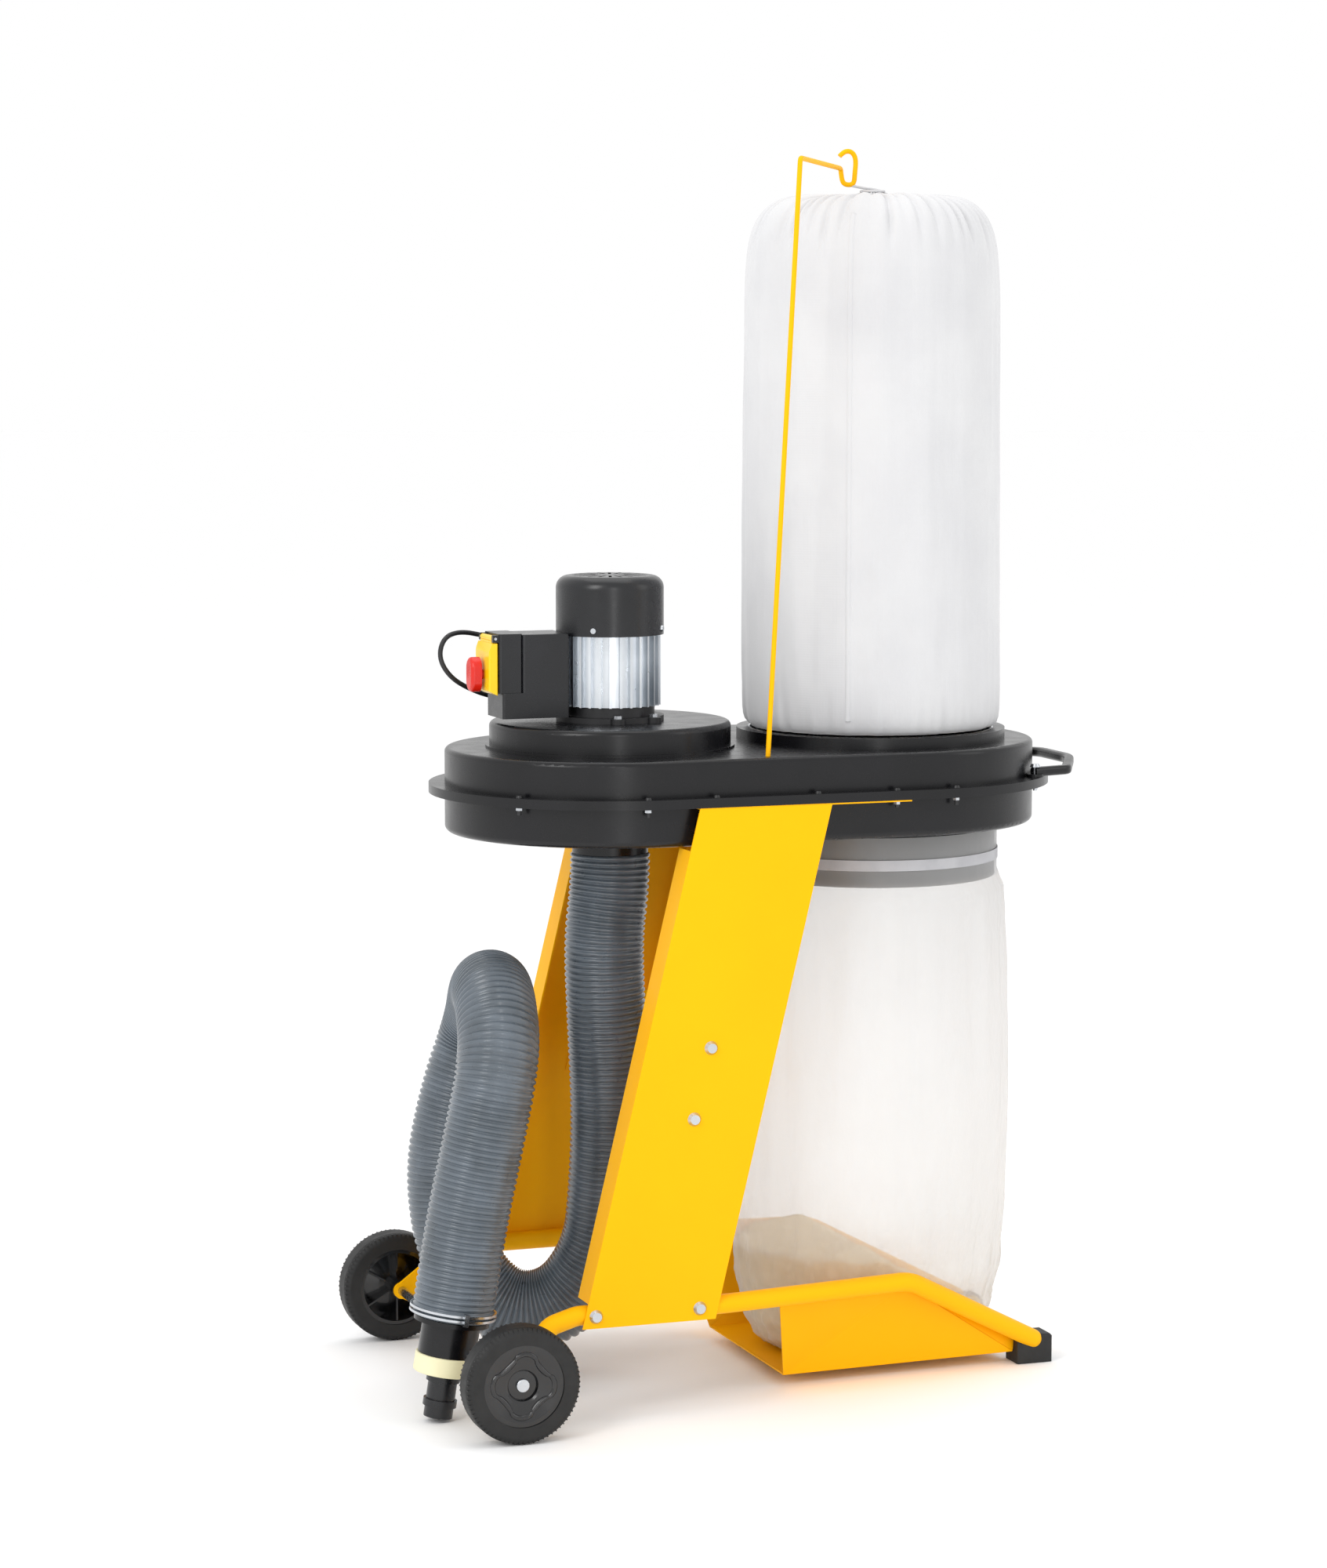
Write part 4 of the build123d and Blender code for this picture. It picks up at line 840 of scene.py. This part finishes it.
@dataclass
class MainsLead(SubAssembly):
    """The mains lead with its coil and the ringed sleeve at its gland."""

    diameter: float = 0.0064
    coil_centre: tuple = (-0.034, 0.337)
    coil_radius: float = 0.034
    coil_turns: float = 2.5
    coil_steps: int = 14
    coil_start: float = -90.0
    coil_rise: float = 1.03
    skin_gap: float = 0.0004
    relief_length: float = 0.034
    relief_radius: float = 0.0058
    relief_groove: float = 0.0006
    route: tuple = (
        (-0.289, 0.056, 0.968),
        (-0.289, 0.084, 0.968),
        (-0.316, 0.098, 0.974),
        (-0.350, 0.090, 0.981),
        (-0.378, 0.072, 0.975),
        (-0.390, 0.056, 0.950),
        (-0.376, 0.050, 0.924),
        (-0.344, 0.058, 0.906),
        (-0.306, 0.074, 0.894),
        (-0.262, 0.092, 0.886),
        (-0.214, 0.110, 0.882),
        (-0.174, 0.140, 0.880),
        (-0.148, 0.178, 0.874),
        (-0.138, 0.216, 0.862),
        (-0.133, 0.248, 0.838),
        (-0.130, 0.262, 0.796),
        (-0.128, 0.262, 0.724),
        (-0.125, 0.268, 0.640),
        (-0.126, 0.264, 0.552),
        (-0.122, 0.269, 0.462),
        (-0.124, 0.265, 0.372),
        (-0.120, 0.270, 0.282),
        (-0.122, 0.267, 0.196),
        (-0.118, 0.271, 0.122),
        (-0.114, 0.277, 0.064),
        (-0.102, 0.288, 0.022),
        (-0.072, 0.299, 0.005),
    )

    def coil_points(self) -> list[tuple]:
        """Wind the unseen length up.

        Returns:
            The coil's control points, and the way out to the plug.
        """
        cx, cy = self.coil_centre
        points = []
        for k in range(round(self.coil_turns * self.coil_steps) + 1):
            turns = k / self.coil_steps
            a = math.radians(self.coil_start) + 2 * math.pi * turns
            x = cx + self.coil_radius * math.cos(a)
            y = cy + self.coil_radius * math.sin(a)
            rise = self.diameter * self.coil_rise * turns
            points.append((x, y, self.diameter / 2 + self.skin_gap + rise))
        points.append((cx - 0.012, cy + self.coil_radius + 0.0035, 0.0175))
        points.append((cx - 0.020, cy + self.coil_radius + 0.005, 0.0155))
        return points

    def build(self) -> None:
        """Build the lead and the sleeve at its gland."""
        points = list(self.route) + self.coil_points()
        lead = nurbs("mains_lead_cord", points, self.diameter / 2, 8)
        self.add(lead, Slot.CABLE)
        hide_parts("mains_lead", "lead_coil")
        bare = nurbs("lead_line", points, 0.0, 8)
        path = Path(spline_points(bare))
        bpy.data.objects.remove(bare)
        relief = self.relief("gland_relief", path)

    def relief(self, name: str, path: Path) -> bpy.types.Object:
        """Make the tapered, ringed sleeve at the lead's start.

        Args:
            name: the piece's name.
            path: the lead's line.

        Returns:
            The sleeve.
        """
        rows, segments = 29, 20
        thick, thin = self.relief_radius, self.diameter / 2 + self.skin_gap
        verts = []
        for row in range(rows):
            share = row / (rows - 1)
            place, _, side, up = path.frame(self.relief_length * share)
            size = thick + (thin - thick) * share
            size -= self.relief_groove if row % 4 in (2, 3) else 0.0
            verts += around(place, side, up, size, segments)
        return self.add(mesh_object(name, verts, grid_faces(rows, segments)), Slot.CABLE)


@dataclass
class HangerRod(SubAssembly):
    """The painted rod that stands in the deck and holds up the filter bag."""

    diameter: float = 0.0064
    route: tuple = (
        (-0.0300, -0.194, 0.8200),
        (0.0040, -0.194, 1.4400),
        (0.0113, -0.194, 1.5735),
        (0.0120, -0.194, 1.5860),
        (0.0200, -0.1820, 1.5856),
        (0.1320, -0.0200, 1.5806),
        (0.1418, -0.0060, 1.5800),
        (0.1424, -0.0058, 1.5730),
        (0.1450, -0.0052, 1.5610),
        (0.1540, -0.0040, 1.5585),
        (0.1620, -0.0030, 1.5610),
        (0.1632, -0.0025, 1.5750),
        (0.1648, -0.0020, 1.5900),
        (0.1620, -0.0020, 1.5990),
        (0.1555, -0.0020, 1.6030),
        (0.1470, -0.0020, 1.6015),
        (0.1418, -0.0020, 1.5960),
    )

    def build(self) -> None:
        """Bend the rod, with its hook at the tip."""
        rod = nurbs("hanger_rod_bar", list(self.route), self.diameter / 2, 12)
        self.add(rod, Slot.YELLOW)
        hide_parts("hanger_rod")


@dataclass
class FilterBag(SubAssembly):
    """The cloth filter bag with its gathered top, drawstring and seam."""

    centre: tuple = (0.190, 0.0)
    radius: float = 0.1715
    low: float = 0.848
    top: float = 1.552
    segments: int = 288
    pleats: int = 44
    soft: Ripple = Ripple(1.7, 2.2, 0.0045, (0.0, 0.0, 3.0))
    long_fold: Ripple = Ripple(4.6, 1.3, 0.0040, (0.0, 0.0, 9.0))
    small: Ripple = Ripple(12.0, 9.0, 0.0012)
    wander: Ripple = Ripple(2.3, 0.0, 1.3, (0.0, 0.0, 5.0))
    sway: Ripple = Ripple(1.0, 6.0, 0.35)
    reach: Ripple = Ripple(5.0, 0.0, 0.060, (0.0, 0.0, 8.0))
    strength: Ripple = Ripple(3.1, 0.0, 1.3, (0.0, 0.0, 1.0))
    crease: Ripple = Ripple(9.0, 7.0, 1.0, (0.0, 0.0, 2.0))
    hem: Ripple = Ripple(14.0, 0.0, 0.0035, (0.0, 0.0, 2.0))
    pleat_depth: float = 0.0150
    weakest_pleat: float = 0.15
    usual_pleat: float = 0.75
    crease_depth: float = 0.0035
    gather_reach: float = 0.085
    gather_fade: float = 0.060
    seam_angle: float = 238.0
    seam_rows: tuple = (3, 46)
    # Pairs of distance along the cloth and height over it, across the seam.
    seam_section: tuple = (
        (-0.0042, -0.0008),
        (-0.0026, 0.0011),
        (0.0, 0.0017),
        (0.0026, 0.0011),
        (0.0042, -0.0008),
    )
    string_radius: float = 0.0018
    string_loop: float = 0.015
    string_wave: float = 0.0015

    def profile(self) -> list[tuple[float, float]]:
        """The bag's outline.

        Returns:
            Pairs of radius and height, from the collar to the top.
        """
        r, top, low = self.radius, self.top, self.low
        points = [
            (r - 0.022, low + 0.004),
            (r - 0.012, low + 0.001),
            (r - 0.004, low + 0.007),
            (r - 0.001, low + 0.022),
            (r, low + 0.060),
        ]
        side_low, side_high = low + 0.060, top - 0.19
        steps, taper = 34, 0.004
        for k in range(1, steps):
            share = k / steps
            height = side_low + (side_high - low - 0.060) * share
            points.append((r - taper * share * share, height))
        # Pairs of depth under the top and radius, over the shoulder and into the gathers.
        crown = (
            (0.150, 0.1672), (0.122, 0.1662), (0.100, 0.1650), (0.082, 0.1632),
            (0.067, 0.1610), (0.054, 0.1578), (0.043, 0.1538), (0.033, 0.1485),
            (0.0245, 0.1415), (0.0175, 0.1330), (0.0120, 0.1230), (0.0085, 0.1110),
            (0.0068, 0.0980), (0.0060, 0.0840), (0.0058, 0.0700), (0.0060, 0.0560),
            (0.0062, 0.0430), (0.0060, 0.0310), (0.0050, 0.0210), (0.0020, 0.0140),
            (0.0015, 0.0070), (0.0060, 0.0020),
        )
        points += [(radius, top - depth) for depth, radius in crown]
        return points

    def fold(self, angle: float, z: float) -> float:
        """How far the cloth stands out of its plain shape.

        Args:
            angle: the place round the bag.
            z: the height.

        Returns:
            The distance in metres.
        """
        drape = self.soft.at(angle, z) + self.long_fold.at(angle, z) + self.small.at(angle, z)
        return drape + self.gather(angle, z) + self.frill(angle, z)

    def gather(self, angle: float, z: float) -> float:
        """How far the pleats and creases under the drawstring draw the cloth in.

        Args:
            angle: the place round the bag.
            z: the height.

        Returns:
            The distance in metres, which is 0 or less.
        """
        wander = self.wander.at(angle, z) + self.sway.at(angle, z)
        pleat = abs(math.sin(self.pleats * 0.5 * angle + wander * 2.0))
        reach = self.gather_reach + self.reach.at(angle, z)
        depth = clamp((z - self.top + reach) / self.gather_fade)
        strength = max(self.weakest_pleat, self.usual_pleat + self.strength.at(angle, z))
        drawn = -self.pleat_depth * (1.0 - pleat) ** 1.6 * depth * depth * strength
        crease = max(0.0, ridge(self.crease.at(angle, z), RIDGE_SHARPNESS))
        return drawn - self.crease_depth * crease * depth

    def frill(self, angle: float, z: float) -> float:
        """How far the hem by the collar waves in and out, in metres."""
        near = math.exp(-(((z - self.low - 0.012) / 0.03) ** 2))
        return self.hem.at(angle, z) * near

    def build(self) -> None:
        """Build the bag, its seam and its drawstring."""
        outline = self.profile()
        rows = len(outline)
        verts = []
        for radius, z in outline:
            crown = clamp((z - self.top + 0.045) / 0.04)
            for a in angles(self.segments):
                out = self.fold(a, z)
                r = max(0.001, radius + out * (1.0 - crown))
                lift = out * 0.62 * crown * min(1.0, radius / 0.03)
                height = min(z + lift, self.top + 0.003)
                verts.append(on_oval(self.centre, r, r, a, height))
        bag = mesh_object("filter_bag_cloth", verts, grid_faces(rows, self.segments))
        sub = bag.modifiers.new("soft", "SUBSURF")
        sub.levels = 1
        sub.render_levels = 1
        self.add(bag, Slot.CLOTH)
        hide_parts("filter_bag")
        seam = self.seam(outline)
        knot = self.drawstring()

    def seam(self, outline: list[tuple[float, float]]) -> bpy.types.Object:
        """Sew the bag's long seam.

        Args:
            outline: the bag's profile.

        Returns:
            The seam's raised strip.
        """
        verts = []
        held = outline[slice(*self.seam_rows)]
        for radius, z in held:
            for across, lift in self.seam_section:
                a = math.radians(self.seam_angle) + across / max(radius, 0.05)
                r = radius + lift + self.fold(a, z)
                verts.append(on_oval(self.centre, r, r, a, z))
        faces = grid_faces(len(held), len(self.seam_section), closed=False)
        return self.add(mesh_object("filter_bag_seam", verts, faces), Slot.CLOTH)

    def drawstring(self) -> bpy.types.Object:
        """Tie the string that closes the bag's top to the hook.

        Returns:
            The string's knot piece.
        """
        cx, cy = self.centre
        points = []
        for a in [*angles(18), 2 * math.pi]:
            r = self.string_loop + self.string_wave * math.sin(5 * a)
            points.append((cx + r * math.cos(a), cy + r * math.sin(a), self.top - 0.001))
        points += [
            (cx + 0.002, cy + 0.004, self.top + 0.002),
            (cx - 0.014, cy - 0.002, self.top + 0.003),
            (cx - 0.032, cy - 0.004, self.top + 0.006),
        ]
        knot = nurbs("filter_bag_drawstring", points, self.string_radius, 6)
        return self.add(knot, Slot.CLOTH)


# Clamp band: mid grey, dull and coarsely grained; the grey is painted shade for the collar seen
# through the film.
PAINTED_SHADE_BAND = Finish("painted_shade_band_grey", "b9b9bc", "acacb0", 0.7, 1.2, 0.15, 30)
# Pine sawdust: pale and warm, without any gloss.
SAWDUST = Finish("fine_sawdust", "f0dcb6", "dcc598", 0.95, 1.4, 0.5, 12)


@dataclass
class ChipBag(SubAssembly):
    """The film chip bag, its clamp and the sawdust in it."""

    centre: tuple = (0.190, 0.0)
    segments: int = 240
    upright: Ripple = Ripple(6.0, 1.6, 1.0)
    fold: Ripple = Ripple(4.5, 3.0, 1.0, (3.0, 0.0, 0.0))
    crumple: Ripple = Ripple(16.0, 26.0, 1.0)
    crinkle: Ripple = Ripple(30.0, 50.0, 1.0)
    gathers: int = 22
    swell: float = 0.004
    fold_height: float = 0.0030
    slack: float = 0.0035
    foot_height: float = 0.28
    crumple_height: float = 0.005
    foot_slack: float = 0.004
    mouth_start: float = 0.60
    mouth_blend: float = 0.06
    film_girth: float = 2 * math.pi * 0.188
    heap_gap: float = 0.010
    heap_half: tuple = (0.178, 0.15)
    heap_top: float = 0.160
    heap_low: float = 0.060
    heap_slope: float = 0.56
    heap_edge: float = 0.040
    # Height and half widths along X and Y, from the floor of the bag to its mouth.
    levels: tuple = (
        (0.0185, 0.128, 0.112),
        (0.024, 0.150, 0.118),
        (0.037, 0.164, 0.122),
        (0.070, 0.178, 0.136),
        (0.137, 0.189, 0.156),
        (0.227, 0.1895, 0.183),
        (0.320, 0.1895, 0.188),
        (0.420, 0.190, 0.189),
        (0.520, 0.188, 0.187),
        (0.600, 0.184, 0.184),
        (0.637, 0.180, 0.180),
        (0.653, 0.172, 0.172),
        (0.661, 0.1686, 0.1686),
        (0.678, 0.1685, 0.1685),
        (0.700, 0.1685, 0.1685),
        (0.721, 0.1685, 0.1685),
    )

    def size_at(self, z: float) -> tuple[float, float]:
        """The bag's half widths at a height.

        Args:
            z: the height in metres.

        Returns:
            The half widths along X and Y.
        """
        levels = self.levels
        if z <= levels[0][0]:
            return levels[0][1], levels[0][2]
        for low, high in zip(levels, levels[1:]):
            if z <= high[0]:
                share = (z - low[0]) / (high[0] - low[0])
                share = share * share * (3 - 2 * share)
                return low[1] + (high[1] - low[1]) * share, low[2] + (high[2] - low[2]) * share
        return levels[-1][1], levels[-1][2]

    def crease(self, angle: float, z: float) -> float:
        """How far the film stands out of its plain shape.

        Args:
            angle: the place round the bag.
            z: the height.

        Returns:
            The distance in metres.
        """
        upright = self.upright.at(angle, z)
        fold = max(0.0, ridge(self.fold.at(angle, z), RIDGE_SHARPNESS))
        low = max(0.0, 1.0 - z / self.foot_height)
        crumple = ridge(self.crumple.at(angle, z), 2.0)
        crumple += 0.5 * ridge(self.crinkle.at(angle, z), 2.0)
        mouth = clamp((z - self.mouth_start) / self.mouth_blend)
        gather = abs(math.sin(angle * self.gathers + 3 * upright)) * 0.0010 * mouth
        hanging = upright * self.swell + fold * self.fold_height - self.slack
        crumpled = (1.0 - mouth) * hanging + low * crumple * self.crumple_height
        return crumpled - self.foot_slack * low + gather * 0.3

    def build(self) -> None:
        """Build the film and the sawdust, and give the clamp band its grey of painted shade."""
        bottom, mouth = self.levels[0][0], self.levels[-1][0]
        heights = [bottom]
        z = bottom
        while z < mouth - 0.004:
            z += 0.0045 if z < 0.3 else 0.008
            heights.append(min(z, mouth))
        verts = []
        floor = (0.02, 0.3, 0.6, 0.85)
        for share in floor:
            half_x, half_y = self.size_at(bottom)
            for a in angles(self.segments):
                verts.append(on_oval(self.centre, half_x * share, half_y * share, a, bottom))
        for z in heights:
            half_x, half_y = self.size_at(z)
            for a in angles(self.segments):
                out = self.crease(a, z) if z > bottom + 0.004 else 0.0
                verts.append(on_oval(self.centre, half_x + out, half_y + out, a, z))
        rows = len(floor) + len(heights)
        film = mesh_object("chip_bag_film", verts, grid_faces(rows, self.segments))
        self.add(film, Slot.FILM)
        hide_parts("chip_bag")
        # The clamp band gets a grey finish: painted shade for the collar seen through the film.
        for held in self.frame["nodes"]["bag_band"].material_slots:
            held.material = self.finishes.get(PAINTED_SHADE_BAND)
        self.sawdust()

    def sawdust(self) -> bpy.types.Object:
        """Heap the sawdust in the bag.

        Returns:
            The heap.
        """
        segments, side_rows, top_rows = 120, 26, 19
        floor = self.levels[0][0] + 0.003
        verts = []
        for step in range(side_rows):
            share = step / (side_rows - 1)
            for a in angles(segments):
                rim = self.rim(a)
                z = floor + (rim - floor) * share
                half_x, half_y = (half - self.heap_gap for half in self.size_at(z))
                verts.append(on_oval(self.centre, half_x, half_y, a, z))
        for step in range(1, top_rows + 1):
            share = 1 - step / (top_rows + 1)
            for a in angles(segments):
                rim = self.rim(a)
                half_x, half_y = ((half - self.heap_gap) * share for half in self.size_at(rim))
                blend = share**4
                inside = self.heap(half_x * math.cos(a), half_y * math.sin(a))
                z = rim * blend + inside * (1 - blend)
                verts.append(on_oval(self.centre, half_x, half_y, a, z))
        rows = side_rows + top_rows
        heap = mesh_object("sawdust_heap", verts, grid_faces(rows, segments))
        return self.add(heap, Slot.FILM, SAWDUST)

    def rim(self, angle: float) -> float:
        """The sawdust's height where it meets the film."""
        half_x, half_y = self.heap_half
        return self.heap(math.cos(angle) * half_x, math.sin(angle) * half_y)

    def heap(self, x: float, y: float) -> float:
        """The sawdust's height.

        Args:
            x: metres from the bag's middle along X.
            y: metres from the bag's middle along Y.

        Returns:
            The height of its surface.
        """
        slope = self.heap_top - self.heap_slope * max(0.0, x + self.heap_edge)
        lumps = noise.noise(Vector((x * 22, y * 22, 4.0))) * 0.006
        chips = noise.noise(Vector((x * 90, y * 90, 1.0))) * 0.0015
        return max(self.heap_low, slope) + (lumps + chips)


@dataclass
class Wheel(SubAssembly):
    """One wheel's raised face outline and its tread."""

    side: int = -1
    axle: tuple = (-0.391, 0.074)
    face: float = 0.3032
    outline_radius: float = 0.0355
    outline_wave: float = 0.0048
    outline_turn: float = 20.0
    # Pairs of distance from the outline's middle and height over the face.
    section: tuple = (
        (-0.0042, -0.0030),
        (-0.0026, 0.0008),
        (0.0, 0.0016),
        (0.0026, 0.0008),
        (0.0042, -0.0030),
    )
    bars: int = 72
    shoulders: tuple = (0.2985, 0.2725)
    # Half the angle, half the width and the radius, at a bar's foot and at its top.
    bar_levels: tuple = ((0.014, 0.006, 0.0685), (0.012, 0.0045, 0.0732))

    def build(self) -> None:
        """Build the raised outline and the tread."""
        name = "left" if self.side < 0 else "right"
        self.outline(f"hub_relief_{name}")
        self.tread(f"tread_blocks_{name}")

    def outline(self, name: str) -> None:
        """Raise the wavy outline on the hub's face.

        Args:
            name: the piece's name.
        """
        cx, cz = self.axle
        count, width, verts = 180, len(self.section), []
        for a in angles(count):
            wave = math.cos(4 * a + math.radians(self.outline_turn))
            swing = math.copysign(abs(wave) ** 0.6, wave)
            middle = self.outline_radius + self.outline_wave * swing
            for across, lift in self.section:
                radius = middle + across
                dish = 0.0019 * max(0.0, (0.046 - radius) / 0.023)
                y = self.side * self.face + self.side * (lift - dish)
                verts.append(Vector((cx + radius * math.cos(a), y, cz + radius * math.sin(a))))
        faces = []
        for k in range(count):
            here, after = k * width, (k + 1) % count * width
            for row in range(width - 1):
                faces.append((here + row, after + row, after + row + 1, here + row + 1))
        self.add(mesh_object(name, verts, faces), Slot.HUB)

    def tread(self, name: str) -> None:
        """Set fine bars round the tyre's shoulders.

        Args:
            name: the piece's name.
        """
        cx, cz = self.axle
        verts, faces = [], []
        corner_signs = ((-1, -1), (1, -1), (1, 1), (-1, 1))
        for shoulder in self.shoulders:
            for a in angles(self.bars):
                b = len(verts)
                for half_turn, half_width, r in self.bar_levels:
                    for turn, over in corner_signs:
                        at = a + turn * half_turn
                        y = self.side * (shoulder + over * half_width)
                        verts.append(Vector((cx + r * math.cos(at), y, cz + r * math.sin(at))))
                faces.append((b + 4, b + 5, b + 6, b + 7))
                for i in range(4):
                    j = (i + 1) % 4
                    faces.append((b + i, b + j, b + 4 + j, b + 4 + i))
        self.add(mesh_object(name, verts, faces, smooth=False), Slot.TYRE)


# ---- the studio ---------------------------------------------------------------------


@dataclass
class Studio:
    """The floor, the lights and the camera."""

    lens: float = 114.83
    sensor_width: float = 36.0
    sight: float = 50.0
    place: tuple = (-1.935, -5.185, 1.393)
    target: tuple = (-0.1012, 0.0, 0.7809)
    floor_half: float = 60.0
    floor_drop: float = 0.0006
    lights_aim: tuple = (0.0, 0.0, 0.8)
    # Name, place, width and height in metres, and power in watts.
    lamps: tuple = (
        ("key", (-3.6, -2.6, 3.2), (1.6, 2.6), 66),
        ("fill", (3.8, -2.6, 2.4), (1.4, 3.0), 16),
        ("top", (0.2, 0.4, 4.2), (3.4, 2.6), 30),
        ("strip", (-1.0, -4.8, 1.7), (0.45, 2.8), 20),
    )

    def build(self) -> None:
        """Build all of it."""
        self.floor()
        self.lights()
        self.camera()

    def floor(self) -> None:
        """Lay a pale floor that runs to the white horizon on every side."""
        half, z = self.floor_half, -self.floor_drop
        verts = [Vector((x, y, z)) for y in (-half, 0.0, half) for x in (-half, half)]
        floor = mesh_object("studio_floor", verts, grid_faces(3, 2, closed=False))
        graph = Graph("studio_white")
        graph.set("Base Color", to_linear("ffffff"))
        graph.set("Roughness", 0.8)
        floor.data.materials.append(graph.material)

    def lights(self) -> None:
        """Hang large soft lights about the object."""
        world = bpy.data.worlds.new("studio_world")
        world.use_nodes = True
        sky = world.node_tree.nodes["Background"]
        sky.inputs["Color"].default_value = (1, 1, 1, 1)
        sky.inputs["Strength"].default_value = 1.0
        bpy.context.scene.world = world
        for name, place, size, power in self.lamps:
            data = bpy.data.lights.new(name, "AREA")
            data.shape = "RECTANGLE"
            data.size, data.size_y = size
            data.energy = power
            light = bpy.data.objects.new(name, data)
            light.location = place
            aim = Vector(self.lights_aim) - Vector(place)
            light.rotation_euler = aim.to_track_quat("-Z", "Y").to_euler()
            bpy.context.scene.collection.objects.link(light)

    def camera(self) -> None:
        """Stand the camera at chest height, well off and to the left of the front."""
        data = bpy.data.cameras.new("camera")
        data.lens = self.lens
        data.sensor_width = self.sensor_width
        data.sensor_fit = "HORIZONTAL"
        data.clip_end = self.sight
        camera = bpy.data.objects.new("camera", data)
        camera.location = self.place
        aim = Vector(self.target) - Vector(self.place)
        camera.rotation_euler = aim.to_track_quat("-Z", "Y").to_euler()
        bpy.context.scene.collection.objects.link(camera)
        bpy.context.scene.camera = camera
        bpy.context.scene.view_settings.view_transform = "Standard"


def main() -> None:
    """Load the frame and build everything."""
    logging.basicConfig(level=logging.INFO)
    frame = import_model()
    finishes = Finishes()
    finishes.dress_frame(frame)
    Studio().build()
    SuctionHose(frame, finishes).build()
    MainsLead(frame, finishes).build()
    HangerRod(frame, finishes).build()
    FilterBag(frame, finishes).build()
    ChipBag(frame, finishes).build()
    Wheel(frame, finishes, body="wheel_left", side=-1).build()
    Wheel(frame, finishes, body="wheel_right", side=1).build()


if __name__ == "__main__":
    main()
